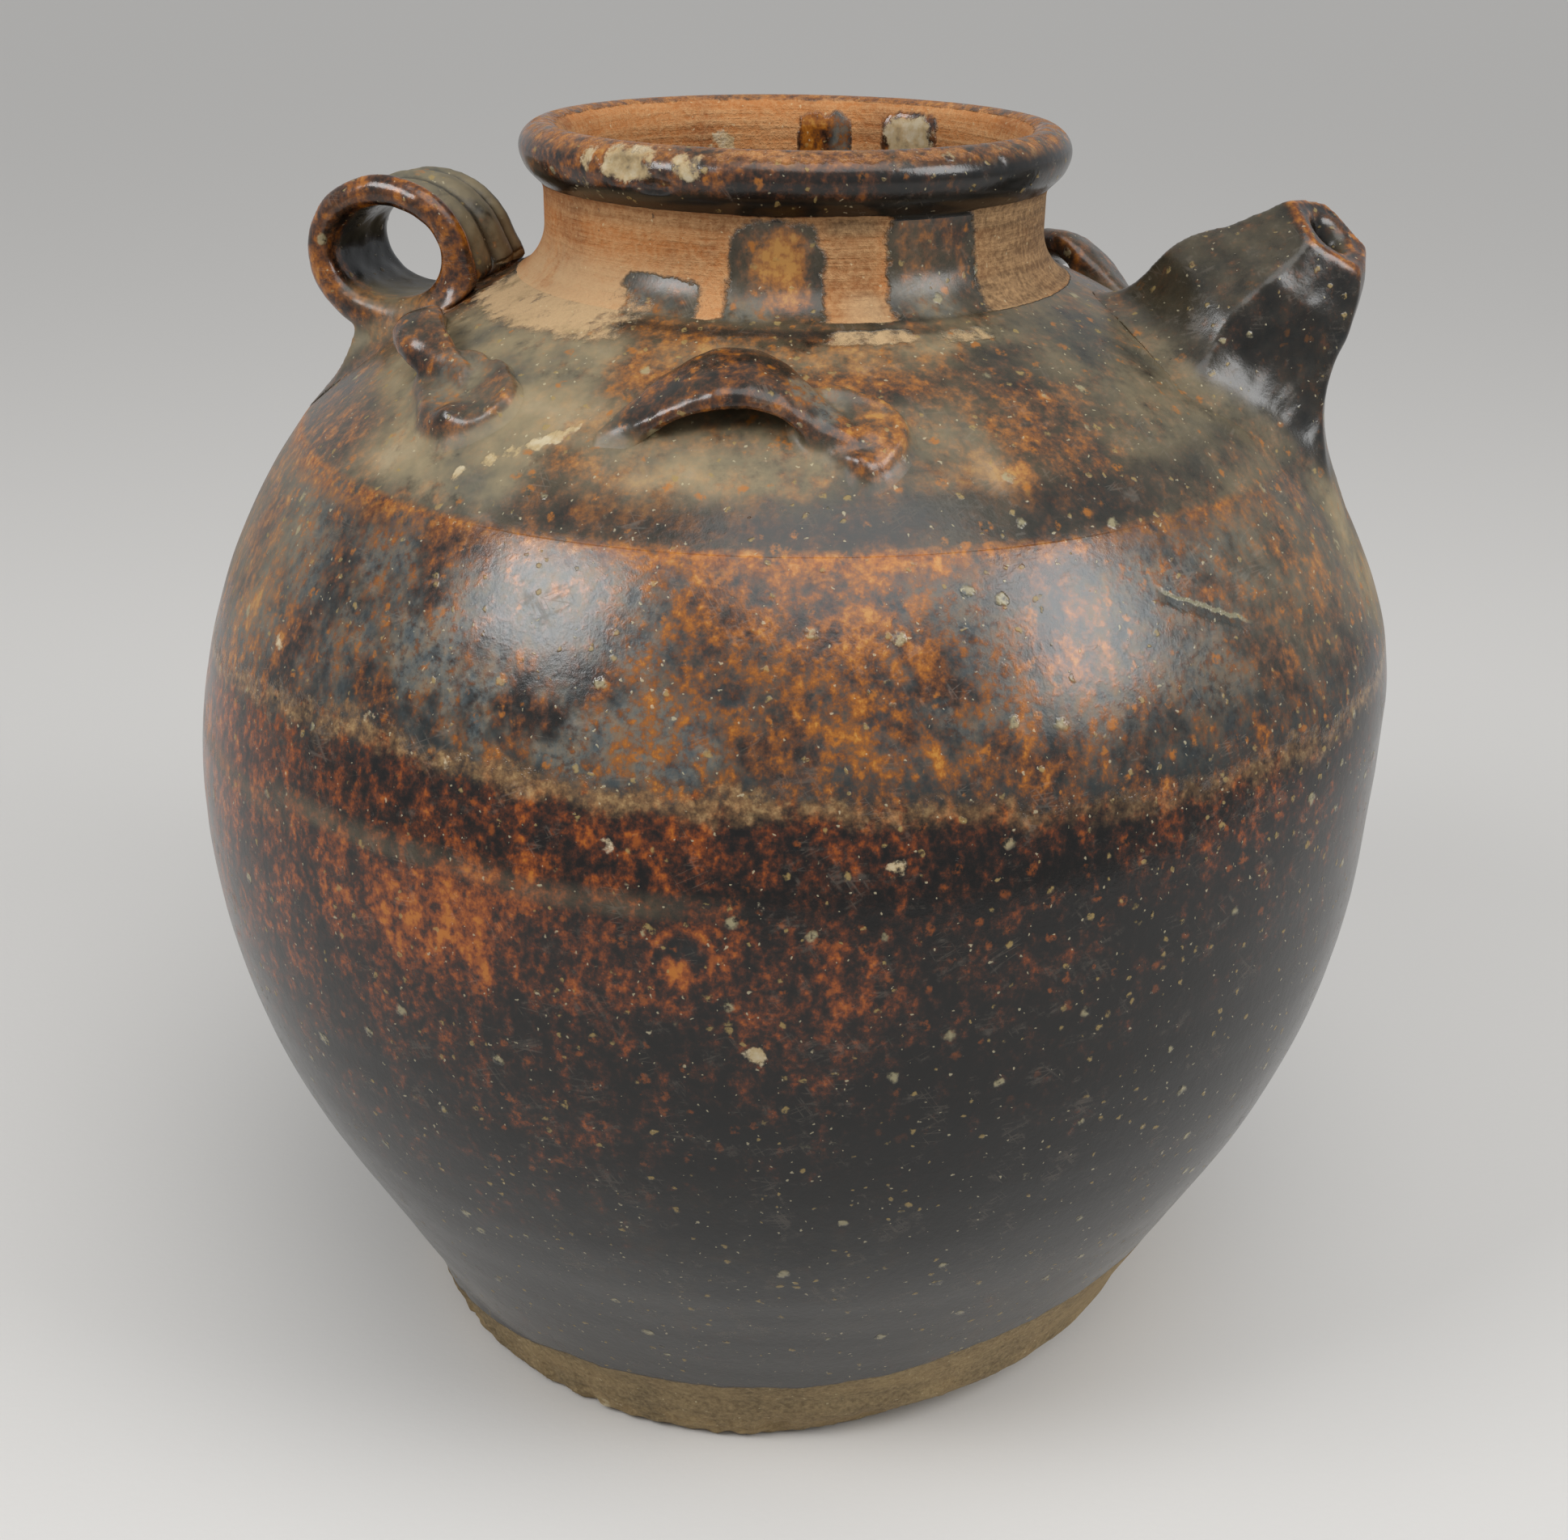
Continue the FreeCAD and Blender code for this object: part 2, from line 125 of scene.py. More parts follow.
def along(start, end, radius=None):
    # fine points from start to end; a positive radius bends the way round a centre on its left
    chord = np.subtract(end, start)
    length = math.hypot(*chord)
    count = max(2, int(length / fineStep))
    share = np.linspace(0, 1, count + 1)[1:]
    if radius is None:
        return [tuple(np.add(start, chord * s)) for s in share]
    left = np.array([-chord[1], chord[0]]) / length
    reach = math.copysign(math.sqrt(radius * radius - length * length / 4), radius)
    centre = np.add(start, end) / 2 + left * reach
    first = math.atan2(start[1] - centre[1], start[0] - centre[0])
    turn = 2 * math.asin(length / 2 / abs(radius)) * math.copysign(1, radius)
    return [tuple(centre + abs(radius) * np.array([math.cos(first + turn * s), math.sin(first + turn * s)]))
            for s in share]


lowerRound = roundRadius(jar["belly"] - jar["calf"], jar["bellyRadius"] - jar["calfRadius"])
upperRound = roundRadius(jar["ridge"] - jar["belly"], jar["bellyRadius"] - jar["ridgeRadius"])
ridgeLine = (jar["ridgeRadius"], jar["ridge"])
neckLine = (jar["neckFootRadius"], jar["shoulderTop"])
shoulderRound = bulgeRadius(ridgeLine, neckLine, 1.7)
neckBend = bulgeRadius(neckLine, (jar["neckRadius"], neckLine[1] + 6), 0.9)
upperCentre = jar["bellyRadius"] - upperRound
chordLength = math.dist(ridgeLine, neckLine)
sink = math.sqrt(shoulderRound ** 2 - chordLength ** 2 / 4) / chordLength
domeCentre = ((ridgeLine[0] + neckLine[0]) / 2 - (neckLine[1] - ridgeLine[1]) * sink,
              (ridgeLine[1] + neckLine[1]) / 2 - (ridgeLine[0] - neckLine[0]) * sink)


def shoulderHeight(radius):
    inside = np.clip(shoulderRound ** 2 - (np.asarray(radius) - domeCentre[0]) ** 2, 0, None)
    return domeCentre[1] + np.sqrt(inside)


def upperRadius(height):
    return upperCentre + np.sqrt(np.clip(upperRound ** 2 - (np.asarray(height) - jar["belly"]) ** 2, 0, None))


# The outside is one line from the middle of the foot up to the rim and in to the throat, the
# inside one line back down, so that neighbouring courses meet point for point.
outsideLegs = [
    # (end radius, end height, radius of the arc, spacing, course)
    (jar["footRadius"] - jar["footBevel"], 0.0, None, 5.0, "foot"),
    (jar["footRadius"], jar["footBevel"], None, 0.5, "foot"),
    (jar["footTopRadius"], jar["footTop"], None, 0.55, "foot"),
    (jar["calfRadius"], jar["calf"], None, 1.0, "lower"),
    (jar["bellyRadius"], jar["belly"], lowerRound, 1.0, "lower"),
    (jar["ridgeRadius"], jar["ridge"], upperRound, 1.0, "upper"),
    (jar["neckFootRadius"], jar["shoulderTop"], shoulderRound, 0.9, "shoulder"),
    (jar["neckRadius"], jar["shoulderTop"] + 6, -neckBend, 0.5, "neck"),
    (jar["neckRadius"], jar["rimFoot"], None, 0.5, "neck"),
    # a groove under the roll, the roll itself, and the lip sloping into the throat
    (jar["neckRadius"] + 0.1, jar["rimFoot"] + 0.5, None, 0.3, "rim"),
    (jar["neckRadius"] + 1.2, jar["rimFoot"] + 1.4, None, 0.3, "rim"),
    (jar["rimRadius"] - 0.7, jar["rimFoot"] + 2.6, None, 0.35, "rim"),
    (jar["rimRadius"], jar["rimFoot"] + 4.3, None, 0.35, "rim"),
    (jar["rimRadius"] - 1.2, jar["rimTop"] - 0.9, 3.0, 0.35, "rim"),
    (jar["rimRadius"] - 4.0, jar["rimTop"], 3.6, 0.35, "rim"),
    (jar["throatRadius"] + 0.9, jar["rimTop"] - 1.2, None, 0.35, "rim"),
    (jar["throatRadius"], jar["rimTop"] - 3.6, None, 0.35, "rim"),
    (jar["throatRadius"], jar["rimFoot"], None, 0.6, "rim"),
]
ridgeInside = 62.3
insideLegs = [
    (jar["throatRadius"], jar["shoulderTop"], None, 1.2, "neck"),
    (jar["throatRadius"], jar["shoulderTop"] - 5, None, 1.2, "shoulder"),
    (ridgeInside, jar["ridge"], -shoulderRound, 2.5, "shoulder"),
    (jar["bellyRadius"] - jar["wall"], jar["belly"], -(upperRound - jar["wall"]), 3.0, "upper"),
    (71.6, 43.4, -(lowerRound - jar["wall"]), 3.0, "lower"),
    (jar["floorRadius"], jar["footTop"], None, 3.0, "lower"),
    (0.0, jar["footTop"], None, 6.0, "foot"),
]


def drawLine(start, legs, soften):
    # the line at a fine step, its corners softened as a wet sponge leaves them
    points = [start]
    labels = [legs[0][4]]
    spacing = [legs[0][3]]
    corner = start
    for radius, height, bend, step, course in legs:
        fine = along(corner, (radius, height), bend)
        points += fine
        labels += [course] * len(fine)
        spacing += [step] * len(fine)
        corner = (radius, height)
    line = np.array(points)
    reach = int(4 * soften / fineStep)
    weights = np.exp(-0.5 * (np.arange(-reach, reach + 1) * fineStep / soften) ** 2)
    weights /= weights.sum()
    padded = np.vstack([np.repeat(line[:1], reach, 0), line, np.repeat(line[-1:], reach, 0)])
    soft = np.column_stack([np.convolve(padded[:, i], weights, "valid") for i in (0, 1)])
    fade = np.clip(np.minimum(np.arange(len(line)), np.arange(len(line))[::-1]) / (3 * reach), 0, 1)[:, None]
    line = line * (1 - fade) + soft * fade
    return line, labels, spacing


def pickPoints(line, labels, spacing, course):
    # the course's own stretch, thinned to its spacing but tight beside each seam
    member = [i for i, label in enumerate(labels) if label == course]
    first = max(member[0] - 1, 0) if member[0] > 1 else 0
    last = member[-1]
    picked = [first]
    travelled = 0.0
    for i in range(first + 1, last + 1):
        travelled += math.dist(line[i], line[i - 1])
        if i in (first + 1, last - 1, last) or travelled >= spacing[i] - 0.1:
            picked.append(i)
            travelled = 0.0
    return line[sorted(set(picked))]


outsideLine = drawLine((0.0, 0.0), outsideLegs, 0.55)
insideLine = drawLine((jar["throatRadius"], jar["rimFoot"]), insideLegs, 0.8)


def courseSection(course):
    outer = pickPoints(*outsideLine, course)
    inner = pickPoints(*insideLine, course) if course != "rim" else np.zeros((0, 2))
    flat = 1e-6
    closed = [tuple(p) for p in outer]
    shown = [1.0] * len(closed)
    for point in inner:
        if math.dist(point, closed[-1]) > 0.02 and math.dist(point, closed[0]) > 0.02:
            closed.append(tuple(point))
            shown.append(0.0)
    if course == "foot":
        # only the slab's outer edge counts as shown, not its underside or the floor inside
        inmost = 52
        highest = jar["footTop"] + 0.01
        shown = [s if r > inmost and z < highest else 0.0 for (r, z), s in zip(closed, shown)]
    return [(max(r, flat), z) for r, z in closed], shown


def node(tree, kind, inputs=(), **settings):
    # one node with its settings; inputs, by name or in order, hold values, sockets or nodes whose
    # first output is meant, and a kind without a family name is a shader node
    made = tree.nodes.new(kind if "Node" in kind else "ShaderNode" + kind)
    for number, (at, colour) in enumerate(settings.pop("stops", [])):
        bands = made.color_ramp.elements
        band = bands[number] if number < 2 else bands.new(at)
        band.position, band.color = at, linear(colour)
    for name, value in settings.items():
        setattr(made, name, value)
    for key, value in inputs.items() if isinstance(inputs, dict) else enumerate(inputs):
        socket = made.inputs[key]
        if isinstance(value, bpy.types.Node):
            tree.links.new(value.outputs[0], socket)
        elif isinstance(value, bpy.types.NodeSocket):
            tree.links.new(value, socket)
        else:
            socket.default_value = value
    return made


# steps round the body, and round the narrower neck and rim
fullTurn = 640
neckTurn = 420


# Lathe: turns a section round the jar's axis, with throwing rings and a slow wobble that only
# ever move the wall inwards and depend on place alone, so the courses stay flush.
def buildWheel():
    tree = bpy.data.node_groups.new("wheelThrown", "GeometryNodeTree")
    face = tree.interface
    face.new_socket("Geometry", in_out="INPUT", socket_type="NodeSocketGeometry")
    face.new_socket("Segments", in_out="INPUT", socket_type="NodeSocketInt").default_value = fullTurn
    defaults = {"Ring Spacing": 9 * mm, "Ring Depth": 0.35 * mm, "Wobble": 0.7 * mm, "Seed": 3.0}
    for name, value in defaults.items():
        face.new_socket(name, in_out="INPUT", socket_type="NodeSocketFloat").default_value = value
    face.new_socket("Material", in_out="INPUT", socket_type="NodeSocketMaterial")
    face.new_socket("Geometry", in_out="OUTPUT", socket_type="NodeSocketGeometry")
    given = node(tree, "NodeGroupInput").outputs

    count = node(tree, "GeometryNodeAttributeDomainSize", [given["Geometry"]])
    rows = node(tree, "FunctionNodeIntegerMath", [count, 1], operation="ADD")
    columns = node(tree, "FunctionNodeIntegerMath", [given["Segments"], 1], operation="ADD")
    grid = node(tree, "GeometryNodeMeshGrid", {"Vertices X": columns, "Vertices Y": rows})
    index = node(tree, "GeometryNodeInputIndex")
    column = node(tree, "FunctionNodeIntegerMath", [index, rows], operation="DIVIDE_FLOOR")
    row = node(tree, "FunctionNodeIntegerMath", [index, rows], operation="MODULO")
    sectionRow = node(tree, "FunctionNodeIntegerMath", [row, count], operation="MODULO")
    position = node(tree, "GeometryNodeInputPosition")
    sample = node(tree, "GeometryNodeSampleIndex",
                  {"Geometry": given["Geometry"], "Value": position, "Index": sectionRow},
                  data_type="FLOAT_VECTOR")
    shownHere = node(tree, "GeometryNodeInputNamedAttribute", {"Name": "shown"}, data_type="FLOAT")
    shown = node(tree, "GeometryNodeSampleIndex",
                 {"Geometry": given["Geometry"], "Value": shownHere, "Index": sectionRow}, data_type="FLOAT")
    wrapped = node(tree, "FunctionNodeIntegerMath", [column, given["Segments"]], operation="MODULO")
    share = node(tree, "Math", [wrapped, given["Segments"]], operation="DIVIDE")
    bearing = node(tree, "Math", [share, 2 * math.pi], operation="MULTIPLY")
    turned = node(tree, "VectorRotate", {"Vector": sample, "Angle": bearing}, rotation_type="Z_AXIS")
    placed = node(tree, "GeometryNodeSetPosition", {"Geometry": grid, "Position": turned})

    # rings: noise that is long round the jar and short up it
    split = node(tree, "SeparateXYZ", [turned])
    level = node(tree, "Math", [split.outputs["Z"], given["Ring Spacing"]], operation="DIVIDE")
    level = node(tree, "Math", [level, given["Seed"]], operation="ADD")
    squeezed = node(tree, "VectorMath", [turned, (9, 9, 0)], operation="MULTIPLY")
    lifted = node(tree, "CombineXYZ", {"Z": level})
    ringPlace = node(tree, "VectorMath", [squeezed, lifted], operation="ADD")
    rings = node(tree, "TexNoise", {"Vector": ringPlace, "Scale": 1.0, "Detail": 1.0})
    slow = node(tree, "TexNoise", {"Vector": turned, "Scale": 11.0, "Detail": 1.0, "W": given["Seed"]},
                noise_dimensions="4D")
    ringMove = node(tree, "Math", [rings, given["Ring Depth"]], operation="MULTIPLY")
    slowMove = node(tree, "Math", [slow, given["Wobble"]], operation="MULTIPLY")
    inward = node(tree, "Math", [ringMove, slowMove], operation="ADD")
    inward = node(tree, "Math", [inward, shown], operation="MULTIPLY")
    inward = node(tree, "Math", [inward, -1], operation="MULTIPLY")
    flat = node(tree, "VectorMath", [turned, (1, 1, 0)], operation="MULTIPLY")
    outwards = node(tree, "VectorMath", [flat], operation="NORMALIZE")
    offset = node(tree, "VectorMath", {0: outwards, "Scale": inward}, operation="SCALE")
    stored = node(tree, "GeometryNodeStoreNamedAttribute",
                  {"Geometry": placed, "Name": "shown", "Value": shown}, data_type="FLOAT", domain="POINT")
    worked = node(tree, "GeometryNodeSetPosition", {"Geometry": stored, "Offset": offset})

    joined = node(tree, "GeometryNodeMergeByDistance", {"Geometry": worked, "Distance": 0.002 * mm})
    smooth = node(tree, "GeometryNodeSetShadeSmooth", {0: joined, "Shade Smooth": True})
    fold = node(tree, "GeometryNodeInputMeshEdgeAngle")
    sharp = node(tree, "FunctionNodeCompare", [fold, math.radians(50)], operation="GREATER_THAN")
    creased = node(tree, "GeometryNodeSetShadeSmooth", {0: smooth, "Selection": sharp, "Shade Smooth": False},
                   domain="EDGE")
    real = node(tree, "GeometryNodeRealizeInstances", [creased])
    coated = node(tree, "GeometryNodeSetMaterial", {"Geometry": real, "Material": given["Material"]})
    node(tree, "NodeGroupOutput", [coated])
    return tree


def meshObject(name, points, edges=(), faces=()):
    mesh = bpy.data.meshes.new(name)
    mesh.from_pydata([tuple(p) for p in points], edges, faces)
    made = bpy.data.objects.new(name, mesh)
    bpy.context.scene.collection.objects.link(made)
    return made


def finished(draft, name):
    # the evaluated mesh with its modifiers gone, closed and facing outwards
    graph = bpy.context.evaluated_depsgraph_get()
    mesh = bpy.data.meshes.new_from_object(draft.evaluated_get(graph), depsgraph=graph)
    mesh.name = name
    work = bmesh.new()
    work.from_mesh(mesh)
    bmesh.ops.remove_doubles(work, verts=work.verts, dist=1e-7)
    bmesh.ops.recalc_face_normals(work, faces=work.faces)
    work.to_mesh(mesh)
    work.free()
    made = bpy.data.objects.new(name, mesh)
    bpy.context.scene.collection.objects.link(made)
    bpy.data.objects.remove(draft)
    return made


wheel = buildWheel()
wheelInputs = {item.name: item.identifier for item in wheel.interface.items_tree if item.in_out == "INPUT"}


def throwCourse(course, name, segments=fullTurn):
    points, shown = courseSection(course)
    count = len(points)
    draft = meshObject(name + "Section", [(r * mm, 0, z * mm) for r, z in points],
                       [(i, (i + 1) % count) for i in range(count)])
    draft.data.attributes.new("shown", "FLOAT", "POINT").data.foreach_set("value", shown)
    turning = draft.modifiers.new("wheelThrown", "NODES")
    turning.node_group = wheel
    turning[wheelInputs["Segments"]] = segments
    return finished(draft, name)


courses = {
    "footSlab": throwCourse("foot", "footSlab"),
    "lowerCourse": throwCourse("lower", "lowerCourse"),
    "upperCourse": throwCourse("upper", "upperCourse"),
    "shoulderDome": throwCourse("shoulder", "shoulderDome"),
    "neckCollar": throwCourse("neck", "neckCollar", neckTurn),
    "rimRoll": throwCourse("rim", "rimRoll", neckTurn),
}
print("courses thrown:", {name: len(piece.data.polygons) for name, piece in courses.items()})


def vertexRows(piece, name):
    flat = np.empty(len(piece.data.vertices) * 3, np.float32)
    piece.data.vertices.foreach_get(name, flat)
    return flat.reshape(-1, 3).astype(float)


def coordsOf(piece):
    return vertexRows(piece, "co") / mm


def normalsOf(piece):
    return vertexRows(piece, "normal")


def polar(coords):
    # bearing in degrees, distance from the jar's axis, and height
    x, y, z = coords.T
    return np.degrees(np.arctan2(y, x)), np.hypot(x, y), z


def awayFrom(at, bearing):
    # degrees round the jar from one bearing to others, the short way
    return (bearing - at + 180) % 360 - 180


def headed(bearing):
    # the level way out at a bearing in degrees, and the level way to its left
    turn = math.radians(bearing)
    return np.array([math.cos(turn), math.sin(turn), 0]), np.array([-math.sin(turn), math.cos(turn), 0])


def setAttribute(piece, name, values):
    held = piece.data.attributes.get(name) or piece.data.attributes.new(name, "FLOAT", "POINT")
    held.data.foreach_set("value", np.asarray(values, np.float32))


def setAttributes(piece, mapped):
    for name, values in mapped.items():
        setAttribute(piece, name, values)


def valuesOf(piece, name):
    values = np.empty(len(piece.data.vertices), np.float32)
    piece.data.attributes[name].data.foreach_get("value", values)
    return values


def setCoords(piece, coords):
    piece.data.vertices.foreach_set("co", (coords * mm).astype(np.float32).ravel())
    piece.data.update()


def ripple(coords, size, seed):
    # smooth hand-made unevenness between about -1 and 1, its waves near this size
    rng = np.random.default_rng(seed)
    total = np.zeros(len(coords))
    for _ in range(9):
        way = rng.normal(size=3)
        way /= np.linalg.norm(way)
        total += np.sin(coords @ way * (2 * math.pi / size) * rng.uniform(0.6, 1.5) + rng.uniform(0, 6.28))
    return total / 4


def smoothstep(low, high, value):
    share = np.clip((value - low) / (high - low), 0, 1)
    return share * share * (3 - 2 * share)


def roundTheJar(line, bearing):
    # a value that varies round the jar, through (bearing, value) points
    bearings = [b for b, _ in line]
    values = [v for _, v in line]
    return np.interp(bearing, bearings + [bearings[0] + 360], values + [values[0]], period=360)


footWear = {
    "chipSize": 7.0,
    "chipDepth": 0.7,
    "crumbSize": 2.2,
    "crumbDepth": 0.18,
    # distance from the axis over which the wear sets in, and over which the edge lifts off the floor
    "outer": (48, 56),
    "lifted": (55.5, 57.5),
    "worn": [(-180, 0.2), (-120, 0.3), (-95, 0.7), (-70, 3.2), (-45, 4.6), (-15, 3.4), (20, 1.2),
             (60, 0.4), (120, 0.5)],
}


def wearFoot(piece):
    # the slab's lower edge is knocked back, most of all at the right of the front
    coords = coordsOf(piece)
    bearing, radius, height = polar(coords)
    low = 1 - smoothstep(0.5, jar["footTop"] - 1.0, height)
    outer = smoothstep(*footWear["outer"], radius)
    bitten = np.clip(ripple(coords * (1, 1, 0.3), footWear["chipSize"], 5) - 0.15, 0, 1)
    chips = bitten * footWear["chipDepth"]
    fine = footWear["crumbDepth"] * (ripple(coords, footWear["crumbSize"], 8) + 1)
    back = roundTheJar(footWear["worn"], bearing) * low ** 1.5 + (chips + fine) * np.clip(low * 1.4, 0, 1)
    keep = (radius - back * outer) / np.maximum(radius, 1e-6)
    coords[:, :2] *= keep[:, None]
    lift = np.clip(back * outer * 0.35, 0, 2.0) * smoothstep(*footWear["lifted"], radius) * low
    coords[:, 2] += lift
    setCoords(piece, coords)


wearFoot(courses["footSlab"])

# The wall stands fuller below the spout, and the ridge dies away there.
swell = {
    "bearing": -6.0,
    "reach": 36.0,
    "out": 3.5,
    "low": 88.0,
    "high": 118.0,
    "inner": (46.0, 66.0),
    # the ridge keeps back within this distance, and nothing goes past the limit
    "corner": 5.5,
    "limit": 87.3,
}


def fillOut(piece):
    coords = coordsOf(piece)
    bearing, radius, height = polar(coords)
    away = awayFrom(swell["bearing"], bearing)
    level = smoothstep(swell["low"], swell["high"], height) * smoothstep(*swell["inner"], radius)
    corner = np.exp(-(np.hypot(radius - jar["ridgeRadius"], height - jar["ridge"]) / swell["corner"]) ** 2)
    push = swell["out"] * np.exp(-(away / swell["reach"]) ** 4) * level * (1 - 0.35 * corner)
    push = np.minimum(push, np.maximum(swell["limit"] - radius, 0)) * (valuesOf(piece, "shown") > 0.5)
    coords[:, :2] *= (1 + push / np.maximum(radius, 1))[:, None]
    setCoords(piece, coords)


fillOut(courses["upperCourse"])
fillOut(courses["shoulderDome"])

rimChips = [
    # bearing, height, half width in degrees, half height, depth
    (-124.5, 177.2, 5.5, 1.7, 0.9), (-117.5, 175.4, 4.0, 1.0, 0.4), (-47, 178.2, 1.6, 0.8, 0.35),
]


def chipRim(piece):
    coords = coordsOf(piece)
    bearing, radius, height = polar(coords)
    ragged = 0.22 * ripple(coords, 3.0, 61)
    for at, level, wide, tall, depth in rimChips:
        reach = np.hypot((bearing - at) / wide, (height - level) / tall) + ragged
        cut = depth * (1 - smoothstep(0.55, 1.1, reach)) * (radius > jar["throatRadius"] + 2.5)
        coords[:, :2] *= (1 - cut / radius)[:, None]
    setCoords(piece, coords)


chipRim(courses["rimRoll"])


def sinkInto(coords, depth=2.5):
    # whatever would pass through the wall stops this far under the jar's skin
    radius = np.hypot(coords[:, 0], coords[:, 1])
    onTop = radius < jar["ridgeRadius"] - 1
    floor = shoulderHeight(np.minimum(radius, jar["ridgeRadius"] - 1)) - depth
    coords[:, 2] = np.where(onTop, np.maximum(coords[:, 2], floor), coords[:, 2])
    wallRadius = upperRadius(np.minimum(coords[:, 2], jar["ridge"])) - depth
    push = np.where((coords[:, 2] < jar["ridge"] - depth) & (radius < wallRadius), wallRadius / radius, 1)
    coords[:, :2] *= push[:, None]
    return coords


def loft(rings, closed=False):
    # faces between rings of equally many points; the ends are capped unless the rings close up
    size = len(rings[0])
    points = [p for ring in rings for p in ring]
    faces = []
    for i in range(len(rings) if closed else len(rings) - 1):
        j = (i + 1) % len(rings)
        for k in range(size):
            m = (k + 1) % size
            faces.append((i * size + k, i * size + m, j * size + m, j * size + k))
    if not closed:
        faces.append(tuple(range(size))[::-1])
        faces.append(tuple(range((len(rings) - 1) * size, len(rings) * size)))
    return points, faces


def modelled(name, shapes, voxel, smoothing):
    # lumps of clay run together and smoothed over with a wet finger
    points = []
    faces = []
    for shapePoints, shapeFaces in shapes:
        start = len(points)
        points += [tuple(np.asarray(p) * mm) for p in shapePoints]
        faces += [tuple(start + i for i in f) for f in shapeFaces]
    draft = meshObject(name + "Draft", points, (), faces)
    work = bmesh.new()
    work.from_mesh(draft.data)
    bmesh.ops.recalc_face_normals(work, faces=work.faces)
    work.to_mesh(draft.data)
    work.free()
    fuse = draft.modifiers.new("fuse", "REMESH")
    fuse.mode = "VOXEL"
    fuse.voxel_size = voxel * mm
    ease = draft.modifiers.new("ease", "SMOOTH")
    ease.factor = 0.5
    ease.iterations = smoothing
    made = finished(draft, name)
    for polygon in made.data.polygons:
        polygon.use_smooth = True
    return made


spoutForm = {
    "bearing": -10.0,
    # upper corner line and lower flat line in the jar's radial plane, with the half width, mouth first
    "stations": [
        ((66.4, 172.1), (77.4, 164.3), 6.5),
        ((63.3, 170.5), (77.2, 160.3), 7.8),
        ((59.2, 168.7), (76.0, 155.3), 9.8),
        ((55.6, 167.6), (74.6, 151.2), 11.3),
        ((51.4, 165.4), (73.9, 147.4), 12.9),
        ((47.3, 160.8), (74.4, 142.0), 15.0),
        ((43.9, 156.8), (76.1, 135.0), 17.6),
        ((40.8, 152.5), (77.4, 126.5), 20.5),
    ],
    "bore": 5.0,
    "boreDepth": 24.0,
    "rounding": 0.26,
    # how far the near side of the mouth is cut back, for each millimetre from the middle
    "skew": 0.30,
    # how many stations back, and how deep into the bore, the cut has straightened out
    "skewStations": 2.2,
    "skewDepth": 4.0,
}


# of a pentagon whose corners lie at distance 1
pentagonHeight = 1.81
pentagonHalfWidth = 0.951


def pentagon(bearing, rounding):
    # distance to the edge of a five-sided outline of unit corner radius, corner at bearing 0
    step = 2 * math.pi / 5
    turn = (bearing + step / 2) % step - step / 2
    sharp = math.cos(step / 2) / math.cos(abs(turn) - step / 2)
    return sharp * (1 - rounding) + 0.9 * rounding


def shapeSpout():
    out, side = headed(spoutForm["bearing"])
    up = np.array([0, 0, 1.0])
    count = 60
    stations = spoutForm["stations"]
    levels = np.linspace(0, len(stations) - 1, 36)
    tops = np.array([s[0] for s in stations])
    lows = np.array([s[1] for s in stations])
    widths = np.array([s[2] for s in stations])

    def eased(values, at):
        # Catmull-Rom through the stations
        i = int(min(at, len(values) - 1.001))
        t = at - i
        a, b = values[max(i - 1, 0)], values[i]
        c, d = values[min(i + 1, len(values) - 1)], values[min(i + 2, len(values) - 1)]
        square = (2 * a - 5 * b + 4 * c - d) * t * t
        return 0.5 * (2 * b + (c - a) * t + square + (3 * b - a - 3 * c + d) * t ** 3)

    outer = []
    span = tops[0] - lows[0]
    inwards = (out * -span[1] + up * span[0]) / np.hypot(*span)
    inwards = inwards if inwards[2] < 0 else -inwards
    for level in levels:
        high, low, width = eased(tops, level), eased(lows, level), eased(widths, level)
        skew = spoutForm["skew"] * max(0.0, 1 - level / spoutForm["skewStations"])
        height = np.hypot(*(high - low))
        rise = (high - low) / height
        corner = height / pentagonHeight
        middle = high - rise * corner
        ring = []
        for k in range(count):
            turn = 2 * math.pi * k / count
            reach = pentagon(turn, spoutForm["rounding"])
            lift = math.cos(turn) * reach * corner
            across = math.sin(turn) * reach * width / pentagonHalfWidth
            plane = middle + rise * lift
            ring.append(out * plane[0] + up * plane[1] + side * across - inwards * (skew * across))
        outer.append(np.array(ring))
    mouth = outer[0].mean(0)
    riseAxis = (out * span[0] + up * span[1]) / np.hypot(*span)

    def boreRing(radius, depth):
        askew = side - inwards * (spoutForm["skew"] * max(0.0, 1 - depth / spoutForm["skewDepth"]))
        return np.array([mouth + inwards * depth + (riseAxis * math.cos(2 * math.pi * k / count)
                         + askew * math.sin(2 * math.pi * k / count)) * radius for k in range(count)])

    rounded = [outer[0] * 0.86 + mouth * 0.14 - inwards * 0.35,
               outer[0] * 0.96 + mouth * 0.04 - inwards * 0.1]
    half = spoutForm["bore"] / 2
    rings = [boreRing(half * 0.9, spoutForm["boreDepth"]), boreRing(half, 4.0), boreRing(half * 1.12, 0.8),
             boreRing(half * 1.5, -0.1), boreRing(half * 1.9, 0.1)] + rounded + outer[1:]
    points, faces = loft(rings)
    points = np.array(points)
    # the bore and the mouth's edge stay where they are
    first = count * 7
    points[first:] = sinkInto(points[first:])
    return points, faces


